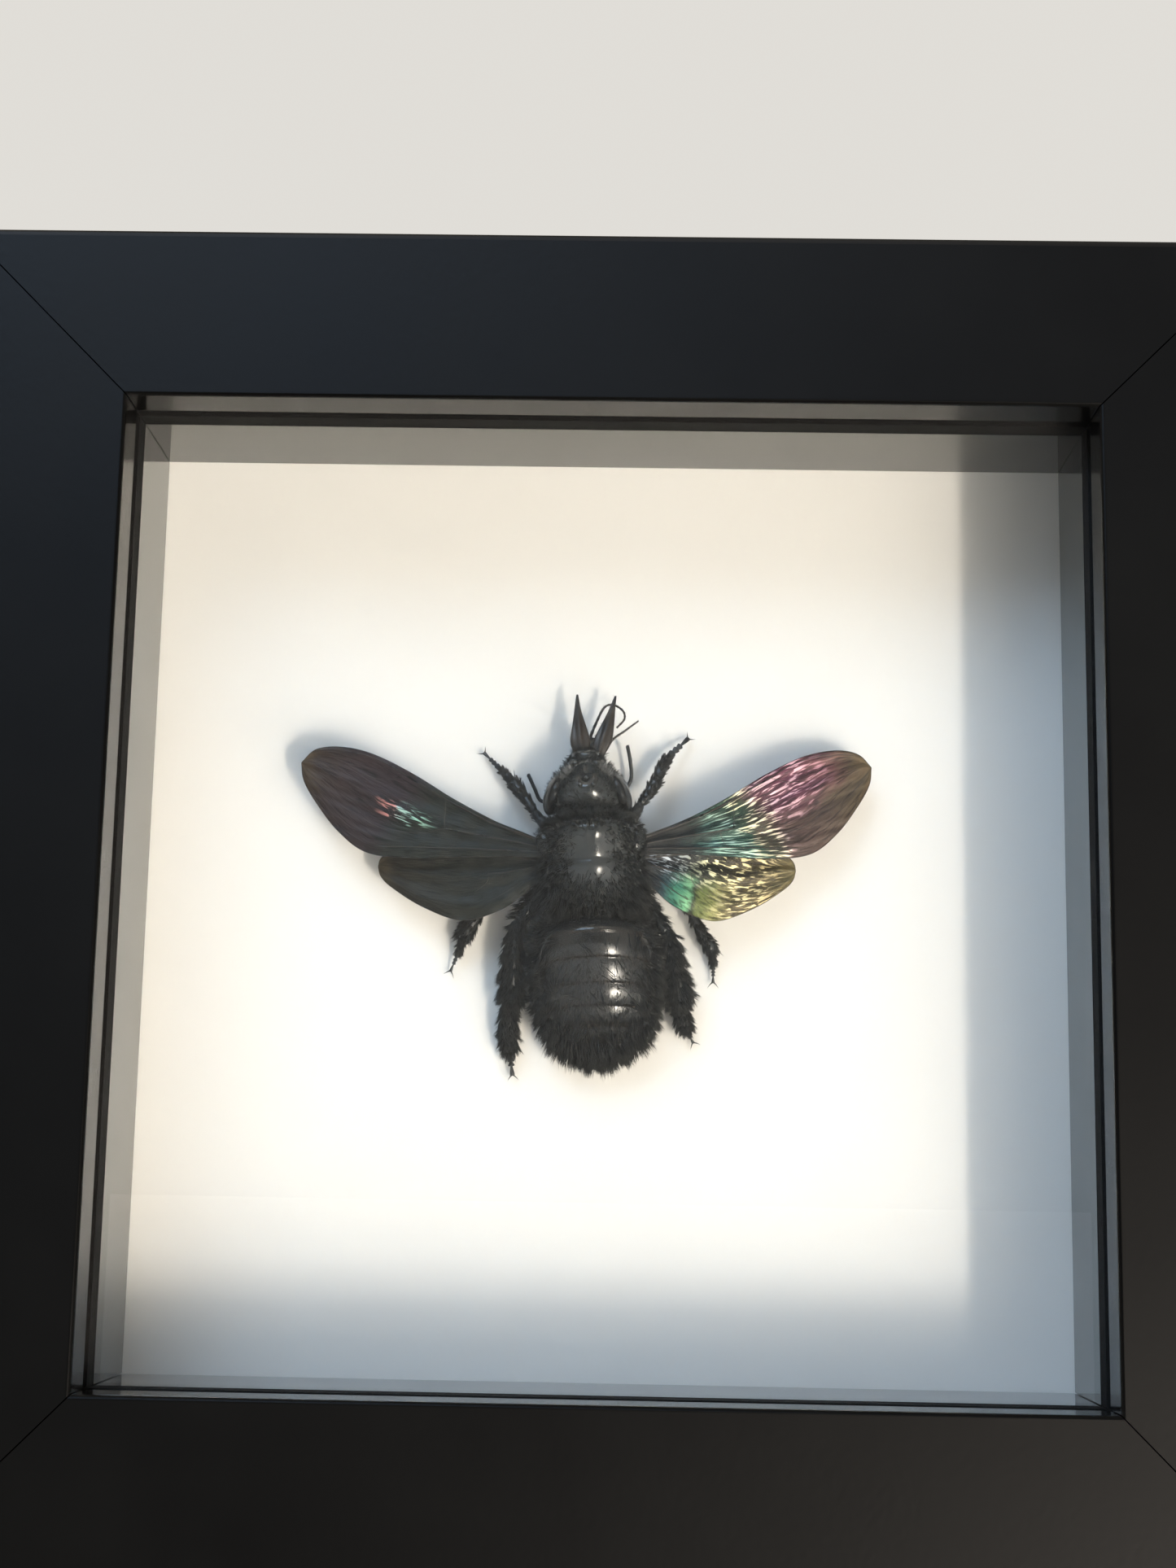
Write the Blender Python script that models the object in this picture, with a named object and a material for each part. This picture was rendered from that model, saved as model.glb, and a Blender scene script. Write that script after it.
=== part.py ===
"""A carpenter bee with spread wings, glued to white board in a deep square frame that stands on its bottom rail.

Everything is laid out flat first: x to the right, y up the picture and z from the back of the frame towards the
viewer, in millimetres from the centre of the opening. The empty display then stands that layout upright, so that
the bottom rail rests on z = 0 of the world, the picture faces -Y, and the origin is under the middle of the frame.
"""

import math

import bmesh
import bpy
from mathutils import Matrix, Vector

MM = 0.001

# The frame: outer square, moulding face, depth and the lip that covers the edge of the glass.
OUTER = 150.0
FACE = 20.0
DEPTH = 35.0
LIP_DEPTH = 5.3
LIP_COVER = 4.0
OUTER_EDGE_RADIUS = 0.9
INNER_EDGE_RADIUS = 0.4
MITRE_GAP = 0.1
OPENING_HALF = OUTER / 2 - FACE
RABBET_HALF = OPENING_HALF + LIP_COVER

# What is stacked in the rabbet, from the glass back to the panel.
BOARD_GAP = 0.1
REST_GAP = 0.3
STACK_HALF = RABBET_HALF - REST_GAP
GLASS_THICKNESS = 2.0
FILLET_DEPTH = 2.8
BACKDROP_DEPTH = 25.4
BACKDROP_THICKNESS = 2.0
PANEL_THICKNESS = 3.0
LIP_BACK = DEPTH - LIP_DEPTH
GLASS_FRONT = LIP_BACK - REST_GAP
GLASS_BACK = GLASS_FRONT - GLASS_THICKNESS
FILLET_FRONT = GLASS_BACK - REST_GAP
FILLET_BACK = FILLET_FRONT - FILLET_DEPTH
LINER_FRONT = FILLET_BACK - REST_GAP
BACKDROP_FRONT = DEPTH - BACKDROP_DEPTH
LINER_BACK = BACKDROP_FRONT + REST_GAP
BACKDROP_BACK = BACKDROP_FRONT - BACKDROP_THICKNESS
PANEL_FRONT = BACKDROP_BACK - REST_GAP
PANEL_BACK = PANEL_FRONT - PANEL_THICKNESS

# Back fittings: bent steel tabs shot into the rabbet, and a sawtooth hanger nailed to the panel.
TAB_LENGTH = 9.0
TAB_WIDTH = 7.0
TAB_THICKNESS = 0.5
TAB_OFFSET = 30.0
HANGER_LENGTH = 44.0
HANGER_HEIGHT = 9.0
HANGER_THICKNESS = 0.8
HANGER_CENTRE_Y = 44.0
HANGER_STAND_OFF = 1.0
HANGER_TEETH = 9
TOOTH_DEPTH = 1.5
NAIL_HEAD_RADIUS = 1.9
NAIL_HEAD_HEIGHT = 0.7

# The bee: where the middle of its thorax lies, how far its body leans, and its gap to the board and between pieces.
BEE_X, BEE_Y = -1.5, 4.4
BEE_LEAN = math.radians(2.9)
PIECE_GAP = 0.3
RING_SIDES = 18

# Body sections from front to back: y along the body, half width, lowest and highest height above the board.
HEAD_X = -0.3
HEAD_SECTIONS = (
    (13.2, 1.7, 3.0, 6.2), (12.6, 2.7, 2.3, 7.2), (11.4, 4.0, 1.5, 8.6), (9.9, 4.7, 1.1, 9.6),
    (8.4, 4.7, 1.2, 9.9), (7.1, 4.1, 1.8, 9.4), (6.3, 2.7, 3.0, 8.0),
)
EYE_X, EYE_Y, EYE_HEIGHT = 3.65, 9.2, 5.9
EYE_RADII = (1.5, 2.9, 3.3)
EYE_TURN = math.radians(14)
THORAX_SECTIONS = (
    (5.6, 2.5, 4.0, 8.2), (4.9, 4.3, 2.3, 10.2), (3.4, 5.7, 1.1, 11.7), (1.2, 6.4, 0.6, 12.5),
    (-0.6, 6.5, 0.5, 12.5), (-1.0, 6.4, 0.5, 12.0), (-1.4, 6.4, 0.5, 12.4), (-3.2, 5.9, 0.7, 11.6),
    (-4.6, 4.7, 1.4, 9.8), (-5.5, 2.7, 3.0, 7.6),
)
ABDOMEN_FRONT, ABDOMEN_TIP = -5.95, -22.5
ABDOMEN_HALF_WIDTH = 7.3
ABDOMEN_BOTTOM, ABDOMEN_TOP = 0.4, 9.6
TERGITE_ENDS = (-8.5, -11.4, -14.3, -16.9, -19.2, -21.1)
TERGITE_STEP = 0.22

# Wing outlines in the wing's own axes: along the wing from its root, and across it towards the leading edge.
FOREWING_LEADING = ((0.0, 0.9), (3.0, 1.0), (7.0, 1.2), (12.0, 2.0), (17.5, 3.2), (22.5, 3.8), (26.4, 3.3),
                    (28.9, 2.0), (29.9, 0.0))
FOREWING_TRAILING = ((0.0, -0.9), (3.0, -1.9), (8.0, -3.8), (14.0, -6.2), (19.0, -7.4), (23.0, -6.2),
                     (26.6, -3.9), (28.9, -1.9), (29.9, 0.0))
HINDWING_LEADING = ((0.0, 0.7), (3.0, 1.2), (7.0, 1.7), (12.0, 2.0), (15.5, 1.9), (18.0, 1.3), (19.1, 0.5),
                    (19.4, -0.5))
HINDWING_TRAILING = ((0.0, -0.9), (2.0, -3.0), (5.0, -5.3), (9.4, -6.7), (14.0, -5.2), (17.6, -3.0), (19.0, -1.7),
                     (19.4, -0.5))
WING_THICKNESS = 0.3
WING_STATIONS = 15
WING_PLEATS = (0.0, 0.16, 0.32, 0.5, 0.7, 1.0)
PLEAT_DEPTH = 0.12
COSTA_RADIUS = 0.32

# Wing roots on the thorax and how each wing is set: its sweep to the front, and how far its tip hangs below its root.
WING_ROOT_X = 5.2
FOREWING_ROOT_Y, FOREWING_ROOT_HEIGHT = 1.7, 8.6
HINDWING_ROOT_Y, HINDWING_ROOT_HEIGHT = 0.2, 7.2
FOREWING_SWEEP = {"left": math.radians(22.6), "right": math.radians(18.2)}
FOREWING_DROOP = {"left": 3.6, "right": 5.0}
FOREWING_STRETCH = {"left": 1.05, "right": 1.0}
HINDWING_SWEEP = {"left": math.radians(4.0), "right": math.radians(-2.5)}
HINDWING_DROOP = 3.2
HINDWING_STRETCH = {"left": 1.04, "right": 0.97}

COLOURS = {
    "frame_black": (0.012, 0.013, 0.014, 0.45, 0.0),
    "glass": (0.9, 0.95, 0.93, 0.05, 0.0),
    "fillet_black": (0.006, 0.006, 0.006, 0.9, 0.0),
    "liner_black": (0.008, 0.008, 0.009, 0.12, 0.0),
    "board_white": (0.82, 0.8, 0.75, 0.9, 0.0),
    "panel_brown": (0.24, 0.15, 0.08, 0.8, 0.0),
    "steel": (0.55, 0.56, 0.57, 0.3, 1.0),
    "bee_black": (0.012, 0.012, 0.013, 0.25, 0.0),
    "bee_wing": (0.03, 0.022, 0.025, 0.3, 0.2),
    "bee_brown": (0.06, 0.03, 0.015, 0.4, 0.0),
}


def clear_scene():
    for thing in list(bpy.data.objects):
        bpy.data.objects.remove(thing)


def material(name):
    found = bpy.data.materials.get(name)
    if found:
        return found
    red, green, blue, roughness, metallic = COLOURS[name]
    made = bpy.data.materials.new(name)
    made.use_nodes = True
    shader = made.node_tree.nodes["Principled BSDF"]
    shader.inputs["Base Color"].default_value = (red, green, blue, 1.0)
    shader.inputs["Roughness"].default_value = roughness
    shader.inputs["Metallic"].default_value = metallic
    return made


def empty(name, parent=None):
    made = bpy.data.objects.new(name, None)
    bpy.context.scene.collection.objects.link(made)
    made.parent = parent
    return made


def piece(name, mesh, parent, finish, smooth=True):
    """An object from a bmesh whose points are in millimetres, with its faces turned outwards."""
    bmesh.ops.scale(mesh, vec=(MM, MM, MM), verts=mesh.verts)
    bmesh.ops.recalc_face_normals(mesh, faces=mesh.faces)
    data = bpy.data.meshes.new(name)
    mesh.to_mesh(data)
    mesh.free()
    if smooth:
        data.shade_smooth()
        data.set_sharp_from_angle(angle=math.radians(35))
    made = bpy.data.objects.new(name, data)
    bpy.context.scene.collection.objects.link(made)
    made.parent = parent
    if finish:
        data.materials.append(material(finish))
    return made


def cutter(name, mesh, parent):
    made = piece(name, mesh, parent, None, smooth=False)
    made.hide_render = True
    made.display_type = "WIRE"
    return made


def boolean(target, other, operation, overlapping=False):
    modifier = target.modifiers.new(f"{operation.lower()} {other.name}", "BOOLEAN")
    modifier.operation = operation
    modifier.object = other
    modifier.solver = "EXACT"
    modifier.use_self = overlapping


def box(low, high):
    made = bmesh.new()
    size = [b - a for a, b in zip(low, high)]
    centre = [(a + b) / 2 for a, b in zip(low, high)]
    bmesh.ops.create_cube(made, size=1.0, matrix=Matrix.LocRotScale(centre, None, size))
    return made


def skin(loops):
    """A closed bmesh over loops of points: neighbours are bridged and the two ends are filled."""
    made = bmesh.new()
    rings = []
    for loop in loops:
        points = [made.verts.new(p) for p in loop]
        rings.append([made.edges.new((a, b)) for a, b in zip(points, points[1:] + points[:1])])
    for one, two in zip(rings, rings[1:]):
        bmesh.ops.bridge_loops(made, edges=one + two)
    bmesh.ops.edgeloop_fill(made, edges=rings[0])
    bmesh.ops.edgeloop_fill(made, edges=rings[-1])
    return made


def arc_corner(before, corner, after, radius, steps=3):
    """Points that round a profile's corner."""
    one = (Vector(before) - Vector(corner)).normalized()
    two = (Vector(after) - Vector(corner)).normalized()
    middle = Vector(corner) + (one + two) * radius
    points = []
    for step in range(steps + 1):
        turned = (-two).slerp(-one, step / steps).normalized()
        points.append(tuple(middle + turned * radius))
    return points


def smooth_points(points, count):
    """Points along a Catmull-Rom curve through a few given points of any dimension."""
    given = [Vector(p) for p in points]
    given = [given[0] * 2 - given[1], *given, given[-1] * 2 - given[-2]]
    spans = len(given) - 3
    found = []
    for step in range(count):
        place = min(step / (count - 1) * spans, spans - 1e-9)
        i, t = int(place), place - int(place)
        a, b, c, d = given[i:i + 4]
        found.append(0.5 * (2 * b + (c - a) * t + (2 * a - 5 * b + 4 * c - d) * t * t
                            + (3 * b - a - 3 * c + d) * t * t * t))
    return found


# The frame and what is stacked in it


def mitred_strip(name, profile, side, parent, finish):
    """One of four strips round the opening. The profile is in distance from the centre and height from the back."""
    ends = []
    for end in (-1, 1):
        ends.append([(end * (r - MITRE_GAP), -r, z) for r, z in profile])
    made = skin(ends)
    turn = {"bottom": 0, "right": 90, "top": 180, "left": 270}[side]
    bmesh.ops.rotate(made, verts=made.verts, cent=(0, 0, 0), matrix=Matrix.Rotation(math.radians(turn), 3, "Z"))
    return piece(name, made, parent, finish)


def rail_profile():
    outer, inner, rabbet = OUTER / 2, OPENING_HALF, RABBET_HALF
    return [
        (outer, 0.0),
        *arc_corner((outer, 0.0), (outer, DEPTH), (inner, DEPTH), OUTER_EDGE_RADIUS),
        *arc_corner((outer, DEPTH), (inner, DEPTH), (inner, LIP_BACK), INNER_EDGE_RADIUS),
        (inner, LIP_BACK), (rabbet, LIP_BACK), (rabbet, 0.0),
    ]


def frame_pieces(display):
    strips = [(OPENING_HALF, FILLET_FRONT), (STACK_HALF, FILLET_FRONT),
              (STACK_HALF, FILLET_BACK), (OPENING_HALF, FILLET_BACK)]
    for side in ("top", "bottom", "left", "right"):
        mitred_strip(f"frame_rail_{side}", rail_profile(), side, display, "frame_black")
        mitred_strip(f"black_fillet_{side}", strips, side, display, "fillet_black")
    half, wall = STACK_HALF, OPENING_HALF
    low, high = LINER_BACK, LINER_FRONT
    between = wall - BOARD_GAP
    liners = {
        "top": ((-half, wall, low), (half, half, high)),
        "bottom": ((-half, -half, low), (half, -wall, high)),
        "left": ((-half, -between, low), (-wall, between, high)),
        "right": ((wall, -between, low), (half, between, high)),
    }
    for side, corners in liners.items():
        piece(f"black_liner_{side}", box(*corners), display, "liner_black", smooth=False)
    sheets = {
        "glass_pane": (GLASS_BACK, GLASS_FRONT, "glass"),
        "white_backdrop": (BACKDROP_BACK, BACKDROP_FRONT, "board_white"),
        "back_panel": (PANEL_BACK, PANEL_FRONT, "panel_brown"),
    }
    for name, (back, front, finish) in sheets.items():
        piece(name, box((-half, -half, back), (half, half, front)), display, finish, smooth=False)


def fixing_tabs(display):
    """Eight flat steel points that hold the panel in, two on each side."""
    top = PANEL_BACK - REST_GAP
    reach = RABBET_HALF - REST_GAP
    for side, turn in (("bottom", 0), ("right", 90), ("top", 180), ("left", 270)):
        for number, place in enumerate((-TAB_OFFSET, TAB_OFFSET), 1):
            half = TAB_WIDTH / 2
            outline = [(place - half, -reach), (place + half, -reach),
                       (place + half * 0.55, -reach + TAB_LENGTH), (place - half * 0.55, -reach + TAB_LENGTH)]
            made = skin([[(x, y, z) for x, y in outline] for z in (top - TAB_THICKNESS, top)])
            spin = Matrix.Rotation(math.radians(turn), 3, "Z")
            bmesh.ops.rotate(made, verts=made.verts, cent=(0, 0, 0), matrix=spin)
            piece(f"fixing_tab_{side}_{number}", made, display, "steel", smooth=False)


def sawtooth_hanger(display):
    """A toothed steel strip that stands off the panel, and the two nails through its ends."""
    front = PANEL_BACK - REST_GAP
    middle = front - HANGER_STAND_OFF
    half, tall = HANGER_LENGTH / 2, HANGER_HEIGHT / 2
    toothed = half * 0.58
    lower = []
    for number in range(2 * HANGER_TEETH + 1):
        x = -toothed + 2 * toothed * number / (2 * HANGER_TEETH)
        lower.append((x, HANGER_CENTRE_Y - tall + (TOOTH_DEPTH if number % 2 else 0.0)))
    ends = half * 0.76
    low, high = HANGER_CENTRE_Y - tall, HANGER_CENTRE_Y + tall
    outline = [(-half, low + 1.4), (-ends, low + 0.7), *lower, (ends, low + 0.7), (half, low + 1.4),
               (half, high - 1.4), (ends, high - 0.7), (toothed, high),
               (-toothed, high), (-ends, high - 0.7), (-half, high - 1.4)]

    def height(x):
        """The ends lie on the panel and the toothed middle stands off it, so that a nail can go behind."""
        across = min(max((abs(x) - toothed) / (ends - toothed), 0.0), 1.0)
        return middle + (front - middle) * across

    made = skin([[(x, y, height(x) - drop) for x, y in outline] for drop in (HANGER_THICKNESS, 0.0)])
    bmesh.ops.triangulate(made, faces=made.faces)
    piece("sawtooth_hanger", made, display, "steel", smooth=False)
    for side, x in (("left", -half * 0.87), ("right", half * 0.87)):
        nail = bmesh.new()
        place = Matrix.Translation((x, HANGER_CENTRE_Y, front - HANGER_THICKNESS - REST_GAP - NAIL_HEAD_HEIGHT / 2))
        bmesh.ops.create_cone(nail, cap_ends=True, segments=16, radius1=NAIL_HEAD_RADIUS * 0.7,
                              radius2=NAIL_HEAD_RADIUS, depth=NAIL_HEAD_HEIGHT, matrix=place)
        piece(f"hanger_nail_{side}", nail, display, "steel")


# The bee's body


def body_loops(sections, centre_x=0.0, grow=0.0):
    """Oval rings across the body, in its own axes. Grow makes them larger all round, for a cutter."""
    loops = []
    last = len(sections) - 1
    for number, (y, half_width, low, high) in enumerate(sections):
        shift = grow if number == 0 else -grow if number == last else 0.0
        middle, half_height = (low + high) / 2, (high - low) / 2
        loop = []
        for side in range(RING_SIDES):
            angle = math.tau * side / RING_SIDES
            loop.append((centre_x + (half_width + grow) * math.cos(angle), y + shift,
                         middle + (half_height + grow) * math.sin(angle)))
        loops.append(loop)
    return loops


def abdomen_sections():
    """Six overlapping plates: each ends in a step down to the next, on an oval that narrows to the tip."""
    length = ABDOMEN_FRONT - ABDOMEN_TIP
    widest = 0.42
    middle = (ABDOMEN_BOTTOM + ABDOMEN_TOP) / 2

    def section(y, step):
        along = (ABDOMEN_FRONT - y) / length
        if along < widest:
            share = math.sqrt(1 - 0.72 * (1 - along / widest) ** 2.6)
        else:
            share = math.sqrt(max(1 - ((along - widest) / (1 - widest)) ** 2.7 * 0.97, 0.0))
        half_height = (ABDOMEN_TOP - ABDOMEN_BOTTOM) / 2 * share ** 0.85
        sunk = middle - 0.9 * (1 - share)
        return (y, ABDOMEN_HALF_WIDTH * share - step, sunk - half_height + step, sunk + half_height - step)

    sections = [section(ABDOMEN_FRONT, 0.0)]
    start = ABDOMEN_FRONT
    for end in TERGITE_ENDS:
        for share in (0.08, 0.55, 1.0):
            sections.append(section(start + (end - start) * share, TERGITE_STEP * (1 - share)))
        start = end
    sections.append(section(ABDOMEN_TIP + 0.5, TERGITE_STEP))
    sections.append(section(ABDOMEN_TIP, 0.0))
    return sections


def lock(root, direction, length, radius):
    """A pointed tuft of hair, as a four-sided cone."""
    made = bmesh.new()
    along = Vector(direction).normalized()
    turn = along.to_track_quat("Z", "Y").to_matrix().to_4x4()
    place = Matrix.Translation(Vector(root) + along * length / 2) @ turn
    bmesh.ops.create_cone(made, cap_ends=True, segments=4, radius1=radius, radius2=radius * 0.12,
                          depth=length, matrix=place)
    return made


def add_locks(target, locks, parent):
    """Joins tufts to the piece that they grow from."""
    joined = bmesh.new()
    for made in locks:
        data = bpy.data.meshes.new("tuft")
        made.to_mesh(data)
        made.free()
        joined.from_mesh(data)
        bpy.data.meshes.remove(data)
    other = cutter(f"{target.name}_tufts", joined, parent)
    boolean(target, other, "UNION", overlapping=True)


def abdomen_fringe():
    """Tufts round the hind half of the abdomen, which point back and outwards."""
    locks = []
    count = 22
    length = ABDOMEN_FRONT - ABDOMEN_TIP
    middle_y = ABDOMEN_FRONT - 0.42 * length
    for number in range(count + 1):
        angle = math.radians(-172 + 164 * number / count)
        x = ABDOMEN_HALF_WIDTH * 0.93 * math.cos(angle)
        y = middle_y + (middle_y - ABDOMEN_TIP) * 0.93 * math.sin(angle)
        reach = 2.0 + 0.4 * math.sin(number * 2.4)
        locks.append(lock((x, y, 3.6), (math.cos(angle) * 0.9, math.sin(angle) - 0.7, -0.25), reach, 0.5))
    return locks


def add_eyes(head, grow, bee):
    for side in (-1, 1):
        eye = bmesh.new()
        turn = Matrix.Rotation(side * EYE_TURN, 4, "Z")
        place = Matrix.Translation((HEAD_X + side * EYE_X, EYE_Y, EYE_HEIGHT)) @ turn
        radii = [radius + grow for radius in EYE_RADII]
        bmesh.ops.create_uvsphere(eye, u_segments=14, v_segments=8, radius=1.0,
                                  matrix=place @ Matrix.Diagonal((*radii, 1.0)))
        boolean(head, cutter(f"{head.name}_eye_{side}", eye, bee), "UNION")


def body_pieces(bee):
    made = {}
    made["head"] = piece("bee_head", skin(body_loops(HEAD_SECTIONS, HEAD_X)), bee, "bee_black")
    made["thorax"] = piece("bee_thorax", skin(body_loops(THORAX_SECTIONS)), bee, "bee_black")
    made["abdomen"] = piece("bee_abdomen", skin(body_loops(abdomen_sections())), bee, "bee_black")
    add_eyes(made["head"], 0.0, bee)
    add_locks(made["abdomen"], abdomen_fringe(), bee)
    return made


def clearances(bee):
    """The body grown by the gap that every limb keeps to it."""
    head = body_loops(HEAD_SECTIONS, HEAD_X, PIECE_GAP)
    thorax = body_loops(THORAX_SECTIONS, 0.0, PIECE_GAP)
    abdomen = body_loops(abdomen_sections(), 0.0, PIECE_GAP)
    clear = {
        "head": cutter("head_clearance", skin(head), bee),
        "thorax": cutter("thorax_clearance", skin(thorax), bee),
        "abdomen": cutter("abdomen_clearance", skin(abdomen), bee),
    }
    add_eyes(clear["head"], PIECE_GAP, bee)
    return clear


# Limbs


def limb_mesh(points, sides=10):
    """A tube through (x, y, height, half width, half thickness) points, laid so that its width is level."""
    loops = []
    for number, (x, y, z, wide, thick) in enumerate(points):
        before = points[max(number - 1, 0)]
        after = points[min(number + 1, len(points) - 1)]
        along = (Vector(after[:3]) - Vector(before[:3])).normalized()
        across = along.cross(Vector((0, 0, 1))).normalized()
        up = across.cross(along)
        loop = []
        for side in range(sides):
            angle = math.tau * side / sides
            loop.append(Vector((x, y, z)) + across * wide * math.cos(angle) + up * thick * math.sin(angle))
        loops.append(loop)
    return skin(loops)


def in_bee(x, y):
    """A place measured from the centre of the opening, in the bee's own leaning axes."""
    return Matrix.Rotation(-BEE_LEAN, 2) @ Vector((x - BEE_X, y - BEE_Y))


def limb(name, route, bee, finish, sides=8, extra=2):
    """A limb through points measured from the centre of the opening, each with its height, width and thickness."""
    points = []
    for x, y, z, width, thickness in route:
        place = in_bee(x, y)
        points.append((place.x, place.y, z, width / 2, thickness / 2))
    fine = [tuple(p) for p in smooth_points(points, extra * (len(points) - 1) + 1)]
    return piece(name, limb_mesh(fine, sides), bee, finish)


# Each leg from its root under the thorax to its claws: x, y, height, width and thickness. A thick stretch is a shin
# with its brush of hair, which the width takes in.
LEGS = {
    "foreleg_left": (
        (-5.6, 8.0, 5.0, 1.7, 1.7), (-7.3, 9.6, 4.6, 1.8, 1.6), (-8.5, 11.0, 4.2, 1.3, 1.3),
        (-9.7, 12.8, 3.7, 1.9, 1.5), (-11.3, 14.9, 2.9, 1.8, 1.3), (-12.8, 16.5, 2.2, 1.1, 0.9),
        (-14.0, 17.8, 1.5, 0.6, 0.5), (-15.1, 18.9, 0.9, 0.45, 0.4),
    ),
    "foreleg_right": (
        (1.2, 8.2, 5.0, 1.8, 1.7), (2.8, 10.2, 4.8, 1.8, 1.7), (4.1, 12.1, 4.5, 2.0, 1.6),
        (5.4, 14.1, 4.0, 1.8, 1.5), (6.0, 15.4, 3.5, 1.2, 1.1), (6.6, 16.8, 3.1, 1.6, 1.3),
        (7.3, 18.2, 2.5, 1.5, 1.1), (8.1, 19.2, 1.9, 0.7, 0.6), (10.0, 21.1, 0.9, 0.45, 0.4),
    ),
    "middle_leg_left": (
        (-6.6, 4.4, 3.6, 1.8, 1.6), (-9.4, 3.2, 3.4, 1.7, 1.6), (-12.0, 1.9, 3.0, 1.6, 1.5),
        (-14.2, 0.2, 2.6, 1.9, 1.6), (-15.7, -2.0, 2.3, 2.4, 1.7), (-16.7, -3.9, 1.9, 1.8, 1.3),
        (-17.3, -5.6, 1.3, 0.9, 0.7), (-18.3, -8.0, 0.8, 0.45, 0.4),
    ),
    "middle_leg_right": (
        (3.6, 4.4, 3.6, 1.8, 1.6), (6.0, 3.2, 3.4, 1.7, 1.6), (8.4, 1.6, 3.0, 1.6, 1.5),
        (10.3, -0.6, 2.6, 1.8, 1.6), (11.6, -2.9, 2.2, 1.9, 1.5), (12.8, -4.9, 1.8, 1.7, 1.3),
        (13.0, -6.6, 1.2, 0.9, 0.7), (13.0, -8.8, 0.8, 0.5, 0.4),
    ),
    "hind_leg_left": (
        (-5.9, 2.0, 3.6, 2.0, 1.8), (-8.2, 0.3, 4.4, 2.2, 2.0), (-10.0, -2.2, 4.4, 2.6, 2.2),
        (-10.6, -5.2, 4.0, 2.8, 2.3), (-10.7, -8.4, 3.4, 2.9, 2.5), (-10.8, -11.3, 2.9, 2.8, 2.2),
        (-11.1, -13.1, 2.4, 1.9, 1.7), (-11.1, -15.2, 1.9, 2.3, 1.7), (-10.9, -17.1, 1.5, 1.5, 1.2),
        (-10.6, -18.1, 1.1, 0.8, 0.7), (-10.5, -20.2, 0.8, 0.5, 0.4),
    ),
    "hind_leg_right": (
        (3.4, 2.0, 3.6, 1.9, 1.8), (5.5, -0.4, 4.4, 1.8, 1.8), (7.2, -3.2, 4.6, 1.9, 1.9),
        (8.0, -5.3, 4.2, 2.6, 2.2), (8.7, -8.2, 3.6, 3.0, 2.5), (9.0, -10.9, 2.9, 2.9, 2.3),
        (9.4, -13.0, 2.2, 2.2, 1.6), (9.9, -14.3, 1.5, 0.9, 0.8), (10.8, -15.9, 0.8, 0.5, 0.4),
    ),
}

# Tufts on a leg's brush: leg, which stretch of its route has them, how long they are.
BRUSHES = {
    "hind_leg_left": ((3, 7), 1.8),
    "hind_leg_right": ((3, 6), 2.0),
    "middle_leg_left": ((3, 5), 1.3),
    "middle_leg_right": ((3, 5), 1.3),
}


def claws(name, route, bee):
    """Two small hooks at the end of a leg, as short tapered tubes."""
    before, end = in_bee(*route[-2][:2]), in_bee(*route[-1][:2])
    along = (end - before).normalized()
    made = []
    for side in (-1, 1):
        out = Matrix.Rotation(side * math.radians(38), 2) @ along
        start = end - along * 0.25
        points = [(start.x, start.y, route[-1][2], 0.14, 0.14),
                  (*(start + out * 0.55), route[-1][2], 0.12, 0.12),
                  (*(start + out * 0.75 + along * 0.3), route[-1][2] - 0.15, 0.05, 0.05)]
        made.append(limb_mesh(points, 6))
    return made


def brush_tufts(route, stretch, length):
    """Tufts that stand out to both sides of a shin and sweep towards the foot."""
    locks = []
    first, last = stretch
    for number in range(first, last):
        a, b = route[number], route[number + 1]
        for share in (0.0, 0.5):
            x, y, z, width, _ = (Vector(a).lerp(Vector(b), share))
            place = in_bee(x, y)
            along = (in_bee(*b[:2]) - in_bee(*a[:2])).normalized()
            for side in (-1, 1):
                out = Vector((along.y, -along.x)) * side
                root = place + out * width * 0.28
                way = (*(out * 0.75 + along * 0.9), -0.15)
                reach = length + 0.25 * math.sin(5 * number + 9 * share)
                locks.append(lock((root.x, root.y, z), way, reach, 0.42))
    return locks


def leg_pieces(bee, clear):
    for name, route in LEGS.items():
        made = limb(f"bee_{name}", route, bee, "bee_black")
        tufts = claws(name, route, bee)
        if name in BRUSHES:
            stretch, length = BRUSHES[name]
            tufts += brush_tufts(route, stretch, length)
        add_locks(made, tufts, bee)
        for other in ("thorax", "head", "abdomen"):
            boolean(made, clear[other], "DIFFERENCE")


# Feelers and mouthparts, measured as the legs are.
FEELERS = {
    "antenna_left": ((-5.0, 14.4, 2.6, 0.5, 0.5), (-6.6, 13.0, 1.6, 0.45, 0.45), (-7.9, 12.9, 1.3, 0.5, 0.5),
                     (-8.7, 14.4, 1.4, 0.6, 0.6), (-9.5, 16.1, 1.5, 0.5, 0.5)),
    "antenna_right": ((0.6, 14.9, 2.6, 0.5, 0.5), (2.1, 14.4, 1.9, 0.45, 0.45), (2.9, 15.6, 2.0, 0.55, 0.55),
                      (2.8, 17.6, 2.3, 0.6, 0.6), (2.4, 19.6, 2.6, 0.5, 0.5)),
}
BLADES = {
    "mouth_blade_left": ((-3.0, 17.9, 4.9, 1.7, 1.2), (-3.2, 19.5, 4.9, 2.4, 1.1), (-3.4, 21.6, 4.7, 1.6, 0.8),
                         (-3.6, 23.5, 4.4, 0.8, 0.5), (-3.7, 25.4, 4.0, 0.25, 0.25)),
    "mouth_blade_right": ((-1.1, 17.9, 4.9, 1.7, 1.2), (-0.6, 19.5, 4.9, 2.3, 1.1), (0.0, 21.6, 4.7, 1.6, 0.8),
                          (0.5, 23.5, 4.4, 0.8, 0.5), (0.9, 25.3, 4.0, 0.25, 0.25)),
}
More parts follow.
